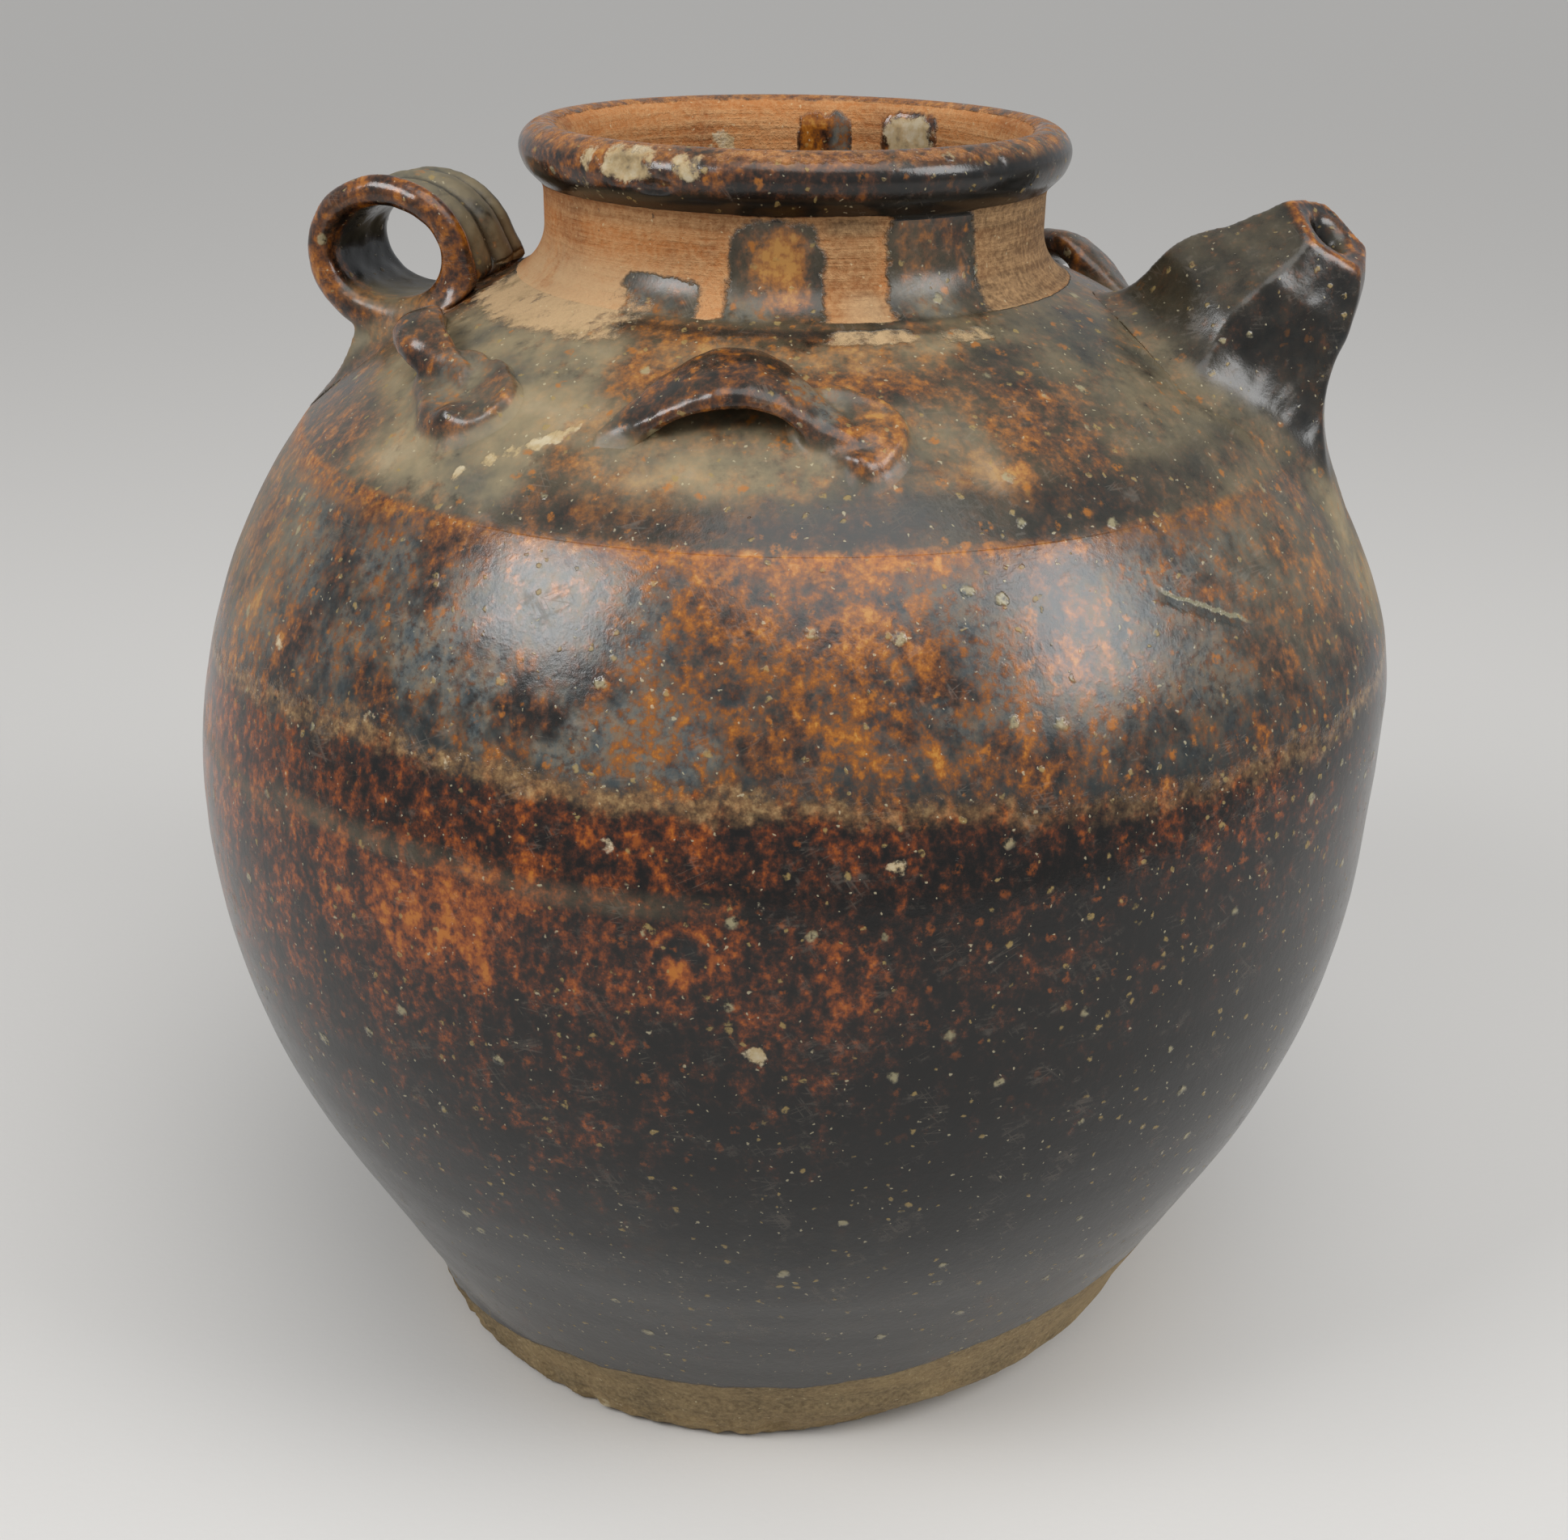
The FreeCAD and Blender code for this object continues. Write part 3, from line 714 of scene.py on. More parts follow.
handleForm = {
    "centre": (-53.5, 3.4, 161.3),
    "facing": 160.0,
    "outer": (12.2, 10.5),
    "hole": (8.6, 6.3),
    "holeShift": (0.3, 0.6),
    "width": 18.0,
    # proud height of the strap's outside across its width, front edge first
    "ribs": [(-9.0, 0.5), (-7.4, 0.8), (-5.6, 0.0), (-4.6, -1.1), (-3.9, -2.0), (-3.2, -1.3),
             (-1.6, -0.6), (-0.3, -0.7), (0.3, -1.5), (0.9, -0.6), (2.4, 0.1), (4.4, 0.0), (5.1, -1.0),
             (5.8, -0.2), (7.2, 0.1), (9.0, -0.3)],
    "bead": 2.3,
    # half width of the stem as a share of the strap's
    "stemShare": 0.93,
    # the stem's outline in the plane of the ring
    "stem": [(-9.6, -4.0), (-6.2, -7.4), (0.0, -8.6), (6.0, -7.6), (6.3, -10.2), (8.2, -15.0),
             (11.0, -22.0), (-12.0, -22.0), (-10.6, -12.0)],
}


def shapeHandle():
    across, side = headed(handleForm["facing"])
    through = -side
    up = np.array([0, 0, 1.0])
    centre = np.array(handleForm["centre"])
    ribs = handleForm["ribs"]
    half = handleForm["width"] / 2
    wide = half * np.sin(np.linspace(-math.pi / 2, math.pi / 2, 49))
    proud = np.interp(wide, [w for w, _ in ribs], [h for _, h in ribs])
    bead = handleForm["bead"]
    fromEnd = np.clip((half - abs(wide)) / bead, 0, 1)
    inset = bead * (1 - np.sqrt(1 - (1 - fromEnd) ** 2))
    outer, hole, shift = (np.array(handleForm[key]) for key in ("outer", "hole", "holeShift"))
    rings = []
    for turn in np.linspace(0, 2 * math.pi, 96, endpoint=False):
        way = np.array([math.cos(turn), math.sin(turn)])
        outside = [(w, (outer + h - back) * way) for w, h, back in zip(wide, proud, inset)]
        inside = [(w, (hole + 0.75 * back) * way + shift) for w, back in zip(wide[::-1], inset[::-1])]
        rings.append([centre + across * x + up * z + through * w for w, (x, z) in outside + inside])
    strap = loft(rings, closed=True)
    halfStem = half * handleForm["stemShare"]
    slices = []
    for w in np.linspace(-1, 1, 9):
        ring = []
        for x, z in handleForm["stem"]:
            flare = 1 + 0.10 * smoothstep(12, 20, -z)
            pinch = 0.90 + 0.10 * (1 - w * w)
            ring.append(centre + across * x * pinch + up * z - through * (w * halfStem * flare))
        slices.append(ring)
    points, faces = loft(slices)
    return strap, (sinkInto(np.array(points)), faces)


# Strap lugs: rolled from a taper, arched over a cord and pressed down with a thumb at the thick end.
lugForms = {
    # bearing and turn of the strap; length and width scale; place of the crown and bow of the ends
    # in plan; outer and inner height of the crown, height of the passage; the kind of pad
    "lugFrontRight": dict(bearing=-95.0, turn=0.0, scale=1.0, width=1.0, crown=(0.0, -0.6), bow=1.0,
                          outer=6.0, inner=3.2, under=2.9, pad="long"),
    "lugFrontLeft": dict(bearing=-146.0, turn=-24.0, scale=0.72, width=0.66, crown=(-3.0, 3.6), bow=-1.2,
                         outer=6.9, inner=5.4, under=2.8, pad="broad"),
    "lugBackRight": dict(bearing=39.0, turn=0.0, scale=1.0, width=1.0, crown=(0.0, 0.2), bow=0.9,
                         outer=8.8, inner=6.0, under=4.6, pad="long"),
    "lugBackLeft": dict(bearing=91.0, turn=0.0, scale=1.0, width=1.0, crown=(0.0, 0.0), bow=1.1,
                        outer=7.0, inner=4.4, under=3.4, pad="long"),
}
# outline of each kind of pad, along the strap and outwards; its bulges as (place, height, size)
padForms = {
    "long": {"outline": [(4.6, -2.4), (12.2, -3.6), (17.9, -1.8), (19.1, 1.3), (17.3, 5.4), (13.9, 8.1),
                         (11.6, 6.7), (8.5, 5.4), (5.0, 3.4)],
             "bulges": [((14.6, 3.0), 0.9, 3.0), ((13.3, 6.9), 0.9, 1.1), ((8.8, -0.2), -0.6, 2.4)]},
    "broad": {"outline": [(-2.0, 5.0), (4.8, 4.8), (9.3, 4.7), (13.8, 3.5), (16.9, -0.2), (18.2, -4.2),
                          (17.3, -7.6), (15.2, -8.5), (11.3, -7.7), (5.6, -5.0), (0.7, -2.8)],
              "bulges": [((14.2, 0.9), 1.9, 2.4), ((9.8, 3.4), 1.0, 2.0), ((16.6, -6.2), 0.5, 1.6),
                         ((8.6, -2.2), -0.5, 2.8)]},
}
# the lugs' distance from the jar's axis, how deep they reach below its skin, half the length of
# the passage for the cord, and what the undercut adds to it
lugSeat = 53.0
lugDepth = 3.0
lugPassage = 7.6
lugUndercut = 7.0
# the strap: place along it from the crown, outwards, half width, share of the crown's height
lugStations = [
    (-18.5, 2.8, 0.5, -0.02), (-16.0, 1.9, 1.9, 0.16), (-12.0, 0.7, 3.8, 0.46), (-8.0, 0.1, 4.9, 0.80),
    (-4.0, -0.1, 5.1, 1.0), (0.0, 0.1, 4.8, 0.98), (4.0, 0.8, 4.2, 0.80), (7.5, 2.1, 3.4, 0.52),
    (10.0, 3.2, 2.6, 0.38), (13.0, 4.1, 2.1, 0.28), (16.5, 4.2, 1.0, 0.05),
]


def shapeLug(form):
    outwards, alongStrap = (way[:2] for way in headed(form["bearing"] + form["turn"]))
    seat = headed(form["bearing"])[0][:2] * lugSeat
    stations = np.array(lugStations)
    size = 28
    rings = []
    for distance in np.linspace(stations[0, 0], stations[-1, 0], 52):
        away, half, arch = (np.interp(distance, stations[:, 0], stations[:, i]) for i in (1, 2, 3))
        half *= form["width"]
        middle = (seat + alongStrap * (form["crown"][0] + distance * form["scale"])
                  + outwards * (form["crown"][1] + away * form["bow"]))
        ring = []
        for k in range(size):
            turn = 2 * math.pi * k / size
            a = math.copysign(abs(math.cos(turn)) ** 0.7, math.cos(turn))
            b = math.copysign(abs(math.sin(turn)) ** 0.7, math.sin(turn))
            place = middle + outwards * (a * half)
            ground = float(shoulderHeight(np.hypot(*place)))
            share = (a + 1) / 2
            # the thin end is undercut along its outer edge
            span = lugPassage + lugUndercut * share * (distance < 0)
            opening = max(0.0, 1 - (distance / span) ** 2) ** 0.5
            tall = arch * (form["inner"] + (form["outer"] - form["inner"]) * share) + 0.4
            under = (form["under"] * (0.5 + 0.5 * share) + lugDepth) * opening - lugDepth
            ring.append((*place, ground + under + (tall - under) * (b + 1) / 2))
        rings.append(ring)
    strap = loft(rings)
    # the thumb-pressed pad: a thin slab with a squeezed-up edge, its bulges and its hollow
    outline = np.array(padForms[form["pad"]]["outline"])
    middle = outline.mean(0)
    turns = np.unwrap(np.arctan2(*(outline - middle).T[::-1]))
    reaches = np.hypot(*(outline - middle).T)
    pad = []
    for share in (0.02, 0.25, 0.45, 0.62, 0.76, 0.87, 0.95, 1.02):
        ring = []
        for turn in np.linspace(0, 2 * math.pi, 48, endpoint=False):
            reach = np.interp(turn, turns, reaches, period=2 * math.pi) * share
            local = middle + reach * np.array([math.cos(turn), math.sin(turn)])
            place = seat + alongStrap * local[0] + outwards * local[1]
            lift = 1.0 + 0.35 * math.exp(-((share - 0.80) / 0.14) ** 2) - 1.9 * smoothstep(0.84, 1.02, share)
            for spot, tall, size in padForms[form["pad"]]["bulges"]:
                lift += tall * math.exp(-((local[0] - spot[0]) ** 2 + (local[1] - spot[1]) ** 2) / size ** 2)
            ring.append((*place, float(shoulderHeight(np.hypot(*place))) + lift))
        pad.append(ring)
    pad += [[(x, y, z - lugDepth) for x, y, z in ring] for ring in pad[::-1]]
    padPoints, padFaces = loft(pad)
    return (sinkInto(np.array(strap[0])), strap[1]), (sinkInto(np.array(padPoints)), padFaces)


def courseTree():
    # the courses' outer skin, to seat the luted pieces on
    points = []
    faces = []
    for name in ("upperCourse", "shoulderDome", "neckCollar"):
        mesh = courses[name].data
        coords = coordsOf(courses[name])
        shown = valuesOf(courses[name], "shown")
        start = len(points)
        points += [Vector(p) for p in coords]
        faces += [[start + i for i in polygon.vertices] for polygon in mesh.polygons
                  if min(shown[i] for i in polygon.vertices) > 0.5]
    return BVHTree.FromPolygons(points, faces)


def gapTo(tree, coords):
    # how far each point stands out of the jar's skin, and the way out
    gaps = np.empty(len(coords))
    ways = np.empty((len(coords), 3))
    for i, point in enumerate(coords):
        place, normal, _, _ = tree.find_nearest(point)
        gaps[i] = (Vector(point) - place).dot(normal)
        ways[i] = normal
    return gaps, ways


def seatOnJar(piece, tree, fillet, sunk, flare):
    # a smoothed root where the clay is luted down: the foot of the piece runs out onto the skin
    coords = coordsOf(piece)
    gaps, ways = gapTo(tree, coords)
    spread = flare * (1 - smoothstep(-fillet, 2.4 * fillet, gaps)) ** 2
    out = normalsOf(piece)
    coords += (out - ways * (out * ways).sum(1)[:, None]) * spread[:, None]
    gaps, ways = gapTo(tree, coords)
    near = (gaps > -fillet) & (gaps < fillet)
    eased = (gaps + fillet) ** 2 / (4 * fillet)
    moved = np.where(near, eased - gaps, 0) - sunk * (1 - smoothstep(0.5 * fillet, 1.5 * fillet, gaps))
    setCoords(piece, coords + ways * moved[:, None])
    setAttribute(piece, "stand", gaps + moved)


# roots: reach of the rounding, depth under the skin, and how far the foot runs out
lugRoot = {"fillet": 1.1, "sunk": 0.12, "flare": 0.4}
stemRoot = {"fillet": 3.0, "sunk": 0.13, "flare": 3.6}
attached = {
    "pouringSpout": modelled("pouringSpout", [shapeSpout()], voxel=0.45, smoothing=8),
    "ringHandle": modelled("ringHandle", shapeHandle(), voxel=0.40, smoothing=3),
}
for name, form in lugForms.items():
    attached[name] = modelled(name, shapeLug(form), voxel=0.35, smoothing=6)
skin = courseTree()
for number, (name, piece) in enumerate(attached.items()):
    coords = coordsOf(piece)
    handMade = 0.10 * ripple(coords, 7.0, 20 + number) + 0.03 * ripple(coords, 2.6, 40 + number)
    setCoords(piece, coords + normalsOf(piece) * handMade[:, None])
    seatOnJar(piece, skin, **(lugRoot if name in lugForms else stemRoot))
print("luted pieces shaped:", {name: len(piece.data.polygons) for name, piece in attached.items()})


# Where glaze, clay and dust lie. Bearings in degrees (0 right, -90 front), heights in
# millimetres, read off the photograph.
glazeMap = {
    # distances from the axis: the neck lies within the first, the ridge beyond the second
    "neckWithin": 45,
    "ridgeBeyond": 60,
    # height at which the second dip of glaze ends
    "overlap": [(-180, 113), (-156, 112.8), (-146, 115.5), (-124, 117.6), (-103, 115.6), (-88, 116.2),
                (-62, 112.6), (-40, 112), (-10, 115), (35, 118), (80, 114), (130, 117)],
    # how plainly the second dip's edge shows as a tan line
    "dipLine": [(-180, 0.9), (-112, 1.0), (-92, 0.95), (-80, 0.60), (-66, 0.42), (-52, 0.50), (-38, 0.75),
                (0, 0.8), (120, 0.9)],
    # height at which glaze gives way to the bare foot
    "hem": [(-180, 4.5), (-147, 6), (-120, 12), (-104, 14), (-88, 14.7), (-65, 20), (-43, 24), (-15, 21),
            (20, 15), (70, 11), (120, 8)],
    # how far the glaze has worn to orange along the ridge
    "ridgeWear": [(-180, 0.9), (-150, 1.0), (-130, 0.75), (-118, 0.45), (-104, 0.9), (-75, 1.0),
                  (-66, 0.55), (-50, 0.4), (-40, 0.6), (-30, 0.05), (14, 0.05), (30, 0.7), (60, 1.0),
                  (120, 0.6)],
}
# for each kind of mark: bearing, height, half width in degrees, half height, strength
bodyMarks = {
    "warmthAndShade": [(-160, 95, 22, 26, 0.14), (-120, 103, 22, 12, 0.12), (-88, 120, 16, 14, 0.06),
             (-90, 138, 14, 8, 0.12), (-52, 108, 16, 7, 0.10), (-165, 66, 16, 24, 0.12),
             (-128, 88, 10, 16, 0.08), (-100, 82, 14, 14, 0.06), (-45, 95, 30, 24, -0.10),
             (-70, 60, 40, 24, -0.12), (-122, 72, 22, 14, 0.06), (20, 100, 20, 18, 0.15),
             (75, 96, 24, 20, 0.15), (140, 100, 22, 22, 0.18), (-160, 128, 16, 10, 0.08),
             (-100, 96, 26, 8, 0.06), (-75, 84, 16, 14, 0.06), (-112, 62, 22, 16, 0.07)],
    # filmAndSheen: a grey milky film, strongest under the ridge, where it is painted highlight of the two
    # soft boxes
    "filmAndSheen": [(-140, 128, 20, 12, 0.45), (-114, 131, 12, 11, 0.75), (-108, 120, 16, 5, 0.80),
             (-70, 130, 12, 10, 0.45), (-150, 116, 14, 6, 0.35), (-52, 130, 12, 10, 0.40),
             (-95, 45, 16, 16, 0.10), (-63, 25, 9, 9, 0.25), (30, 126, 40, 12, 0.5),
             (110, 128, 30, 12, 0.5)],
    "dust": [(-13, 130, 9, 13, 0.75), (-32, 130, 14, 10, 0.30), (-162, 129, 16, 10, 0.40),
             (-150, 101.5, 12, 1.5, 0.24), (-127, 104.2, 12, 1.3, 0.26), (-104, 103.4, 9, 1.2, 0.20)],
    "pale": [(-81.6, 108.3, 0.9, 1.2, 0.7), (-92, 85.5, 0.8, 1.4, 0.9), (-104, 110, 0.8, 0.7, 0.55),
             (-127, 118, 1.8, 0.9, 0.6), (-118, 116, 1.4, 0.8, 0.55), (-143, 121, 1.3, 0.9, 0.5),
             (-117, 2.5, 3.0, 1.5, 0.5)],
    "grimeAndShade": [(-103, 8, 12, 3.0, 0.6), (-78, 9, 9, 3.5, 0.8), (-58, 12, 5, 5, 0.6)],
}
# the same on the shoulder, with the distance from the axis for the height
shoulderMarks = {
    "dust": [(-133, 61, 12, 7, 0.9), (-148, 52, 14, 8, 0.9), (-96, 62, 16, 3.0, 0.75),
             (-126, 50, 9, 6, 0.9), (-72, 60, 6, 7, 0.55), (-125, 60, 5, 6, 0.9), (-62, 42, 12, 2.5, 0.5),
             (-28, 54, 20, 16, 0.45), (-90, 45, 26, 2.2, 0.35), (-100, 56, 22, 3.5, 0.5),
             (60, 56, 30, 8, 0.5), (160, 54, 20, 9, 0.8)],
    "open": [(-146, 40.2, 28, 5.6, 0.66), (-76.5, 41.4, 9.5, 1.6, 0.58), (-59, 42.2, 6, 1.5, 0.54)],
    "cream": [(-134, 41.5, 90, 6, 1.0)],
    "warmthAndShade": [(-45, 52, 18, 12, -0.12), (-106, 46, 9, 5, 0.26), (-80, 46, 14, 4, 0.16),
             (-88, 58, 30, 5, 0.06), (-58, 57, 12, 6, 0.12), (-106, 63, 8, 3, 0.12),
             (-68, 63, 5, 2.5, 0.2), (-152, 62, 12, 5, 0.10), (-118, 55, 5, 4, 0.2)],
    "pool": [(-74, 65.8, 42, 2.7, 0.85), (-74, 62, 5, 4, 0.5), (-92, 40.6, 34, 0.8, 0.9),
             (-24, 50, 14, 9, 0.35)],
    "pale": [(-128.4, 64.6, 0.8, 0.8, 0.8), (-125.5, 62.4, 1.1, 0.9, 1.0), (-123, 61.0, 1.1, 0.8, 1.0),
             (-120.8, 59.8, 1.1, 0.8, 1.0), (-118.8, 58.4, 1.2, 0.9, 1.0), (-117.0, 57.0, 0.8, 0.8, 0.8)],
}
# runs of glaze down the outside of the neck
neckMarks = {
    "splash": [(-118.5, 161.0, 9.8, 3.3, 1.0), (-93.7, 163.8, 10.0, 7.8, 1.0),
               (-59.5, 165.5, 11.0, 8.0, 1.0), (10, 166, 14, 6, 0.9), (70, 165, 15, 6, 0.9),
               (130, 165, 13, 6, 0.9)],
    # painted highlight: a grey-white sheen on the lower part of the runs
    "filmAndSheen": [(-118, 160.6, 8.5, 2.2, 0.9), (-63, 161.5, 7, 2.5, 0.8), (-99, 160.9, 5, 1.6, 0.8)],
    "warmthAndShade": [(-93, 166.0, 5.0, 4.5, 0.34), (-64, 167, 6, 3, 0.08)],
    # painted shadow in a band under the rim's roll; darker olive-brown on the right of the neck
    "grimeAndShade": [(-20, 166, 34, 20, 0.95), (30, 166, 26, 20, 0.6), (-95, 171.5, 70, 1.6, 0.55),
              (-78, 166, 6, 9, 0.45), (-55, 161, 20, 2, 0.5)],
    "cream": [(-142, 159.0, 32, 6.0, 0.9), (-76, 161.0, 4, 1.8, 0.5)],
}
rimMarks = {
    "pale": [(-123.5, 177.6, 6.3, 2.1, 1.0), (-110.3, 178.0, 4.0, 1.7, 0.75),
             (-134, 177.6, 1.8, 1.7, 0.7), (-136, 174.6, 2.0, 1.2, 0.5), (56, 174.5, 8, 3.2, 1.0),
             (117, 173.6, 8, 1.6, 0.55), (109, 172.6, 2, 2.4, 0.7)],
    "warmthAndShade": [(-60, 177.5, 34, 3, -0.16), (-20, 177, 40, 5, -0.18), (85, 172, 3.0, 6, 0.2)],
    "splash": [(77, 172, 3.2, 6, 1.0), (85, 172, 4.2, 6, 1.0), (56, 174, 9, 4.4, 1.0)],
    "filmAndSheen": [(77, 172, 2.6, 6, 1.0)],
}


def marked(marks, key, bearing, level):
    # strength of one kind of mark: full in the middle of each, soft at its edge
    total = np.zeros(len(bearing))
    for at, middle, wide, tall, strength in marks.get(key, ()):
        reach = ((awayFrom(at, bearing) / wide) ** 4 + ((level - middle) / tall) ** 4) ** 0.25
        total += strength * (1 - smoothstep(0.55, 1.45, reach))
    return total


def hollowness(piece, passes):
    # above zero in hollows and below it on edges, in millimetres, over a few neighbours
    coords = coordsOf(piece)
    ends = np.empty(len(piece.data.edges) * 2, np.int32)
    piece.data.edges.foreach_get("vertices", ends)
    a, b = ends[::2], ends[1::2]
    size = len(coords)
    links = np.bincount(a, minlength=size) + np.bincount(b, minlength=size)
    soft = coords.copy()
    for _ in range(passes):
        total = np.column_stack([np.bincount(a, soft[b, i], size) + np.bincount(b, soft[a, i], size)
                                 for i in range(3)])
        soft = 0.5 * soft + 0.5 * total / links[:, None]
    return ((soft - coords) * normalsOf(piece)).sum(1)


# A burst blister on the lower bowl: an amber ring, thick glaze inside it, and two spots of
# (what lies there, place across and above the middle, half width, half height, strength).
blister = {
    "bearing": -97.8,
    "height": 97.6,
    "radius": 3.6,
    "ringWidth": 0.6,
    "inside": (2.2, 3.2),
    "squash": 1.15,
    "spots": [("warmthAndShade", -0.5, -1.5, 1.7, 1.2, 0.75), ("pool", 0.8, 0.9, 2.0, 1.4, 0.6)],
}


def skinAt(coords):
    # what lies on the outside of the jar's courses at each point
    bearing, radius, height = polar(coords)
    onShoulder = smoothstep(jar["ridge"] - 0.4, jar["ridge"] + 0.6, height)
    overShoulder = smoothstep(jar["shoulderTop"] - 0.3, jar["shoulderTop"] + 0.3, height)
    onNeck = np.where(radius < glazeMap["neckWithin"], overShoulder, 0)
    onBody = 1 - onShoulder
    coat = height - roundTheJar(glazeMap["overlap"], bearing)
    hem = height - roundTheJar(glazeMap["hem"], bearing)
    mapped = {key: marked(bodyMarks, key, bearing, height) * onBody
              + marked(shoulderMarks, key, bearing, radius) * onShoulder * (1 - onNeck)
              + marked(neckMarks, key, bearing, height) * onNeck
              for key in ("warmthAndShade", "filmAndSheen", "dust", "pool", "pale", "splash", "grimeAndShade", "cream")}
    # painted shade: below the second dip the glaze is drawn darker towards the foot and lighter higher up
    paintedLightByHeight = smoothstep(28, 112, height) ** 1.3
    mapped["warmthAndShade"] += np.where(coat > 0, 0.48, 0.17 + 0.30 * paintedLightByHeight) * onBody + 0.46 * onShoulder
    across = np.radians(awayFrom(blister["bearing"], bearing)) * radius
    above = height - blister["height"]
    ring = np.hypot(across, above * blister["squash"])
    mapped["warmthAndShade"] += 0.17 * np.exp(-((ring - blister["radius"]) / blister["ringWidth"]) ** 2)
    mapped["warmthAndShade"] -= 0.12 * (1 - smoothstep(*blister["inside"], ring))
    for key, aside, lift, wide, tall, strength in blister["spots"]:
        mapped[key] += strength * np.exp(-((across - aside) / wide) ** 2 - ((above - lift) / tall) ** 2)
    belowRidge = np.clip(1 - (jar["ridge"] - height) / 3.0, 0, 1) * (height <= jar["ridge"])
    aboveRidge = np.clip(1 - (height - jar["ridge"]) / 0.45, 0, 1) * (height > jar["ridge"])
    ridge = (belowRidge + aboveRidge) * roundTheJar(glazeMap["ridgeWear"], bearing)
    ridge *= radius > glazeMap["ridgeBeyond"]
    # a grey film over the second dip, partly painted sheen
    mapped["filmAndSheen"] += 0.34 * smoothstep(-1, 4, coat) * onBody
    mapped["grimeAndShade"] += 0.50 * smoothstep(-4.0, -0.5, hem) * onBody
    mapped["dust"] = (mapped["dust"] + 0.22 * onShoulder) * (1 - 0.8 * np.clip(mapped["pool"], 0, 1))
    splash = np.clip(mapped.pop("splash"), 0, 1)
    mapped["warmthAndShade"] -= 0.30 * onNeck * (1 - smoothstep(0.55, 0.9, splash))
    opened = marked(shoulderMarks, "open", bearing, radius) * onShoulder
    mapped["bare"] = np.maximum(onNeck * (1 - splash), opened)
    mapped.update(coat=coat, hem=hem, ridge=ridge, dipLine=roundTheJar(glazeMap["dipLine"], bearing))
    return mapped


# A long scratch at the right of the upper bowl, with a painted highlight along its upper edge:
# bearing and height of its two ends, and the radius of the wall there.
scratchWithHighlight = {"ends": ((-53.6, 133.4), (-43.5, 127.6)), "wall": 76}


def paintCourse(piece):
    coords = coordsOf(piece)
    mapped = skinAt(coords)
    bearing, _, height = polar(coords)
    start, end = (np.array([math.radians(at) * scratchWithHighlight["wall"], level]) for at, level in scratchWithHighlight["ends"])
    heading = end - start
    length = np.hypot(*heading)
    across, above = np.radians(bearing) * scratchWithHighlight["wall"] - start[0], height - start[1]
    travelled = (across * heading[0] + above * heading[1]) / length
    mapped["aside"] = (above * heading[0] - across * heading[1]) / length
    mapped["scratchWithHighlight"] = smoothstep(-0.5, 1.5, travelled)
    mapped["scratchWithHighlight"] *= 1 - smoothstep(length - 2, length + 0.5, travelled)
    shown = valuesOf(piece, "shown") > 0.5
    mapped["scratchWithHighlight"] *= (abs(mapped["aside"]) < 6) & shown
    inside = ~shown & (height > jar["footTop"] - 0.5)
    for key, value in (("bare", 1), ("hem", 20), ("pale", 0), ("grimeAndShade", 0.3), ("cream", 0)):
        mapped[key] = np.where(inside, value, mapped[key])
    setAttributes(piece, mapped)


def paintRim(piece):
    coords = coordsOf(piece)
    bearing, radius, height = polar(coords)
    inner = 1 - smoothstep(jar["throatRadius"] + 0.6, jar["throatRadius"] + 1.8, radius)
    lip = smoothstep(jar["rimTop"] - 2.4, jar["rimTop"] - 0.8, height) * (1 - inner)
    # painted shade: the groove and the underside of the roll are drawn darker
    groove = 1 - smoothstep(jar["rimFoot"] + 1.8, jar["rimFoot"] + 3.6, height)
    foot = 1 - smoothstep(jar["rimFoot"] + 0.5, jar["rimFoot"] + 1.1, height)
    mapped = {key: marked(rimMarks, key, bearing, height) for key in ("warmthAndShade", "filmAndSheen", "pale", "splash")}
    outer = smoothstep(jar["throatRadius"] + 2.0, jar["throatRadius"] + 3.0, radius)
    inward = (inner > 0.5) & (bearing > 40) & (bearing < 130)
    mapped["pale"] *= np.where(outer > 0.5, bearing < 0, inward)
    mapped["filmAndSheen"] *= inward
    mapped["splash"] *= inward
    mapped["warmthAndShade"] = mapped["warmthAndShade"] * np.where(inward, 1, outer) + 0.50 + 0.12 * lip - 0.70 * groove * outer
    mapped["bare"] = inner * (1 - np.clip(mapped.pop("splash"), 0, 1)) + 0.42 * lip
    mapped["bare"] += foot * outer * valuesOf(piece, "bare")
    mapped["ridge"] = 0.45 * lip
    mapped["dust"] = 0.15 * lip
    # the painted shadow under the roll carries on over the rim's foot
    mapped["grimeAndShade"] = np.where(foot * outer > 0.5, valuesOf(piece, "grimeAndShade"), 0.3 * inner * (bearing < -20))
    setAttributes(piece, mapped)


attachedLooks = {
    # warmth, dust on what faces up, strength of the amber edges
    "pouringSpout": (0.24, 0.40, 0.0),
    "ringHandle": (0.56, 1.4, 0.3),
    "lugFrontRight": (0.46, 0.08, 0.18),
    "lugFrontLeft": (0.48, 0.22, 0.18),
    "lugBackRight": (0.45, 0.20, 0.5),
    "lugBackLeft": (0.45, 0.25, 0.5),
}


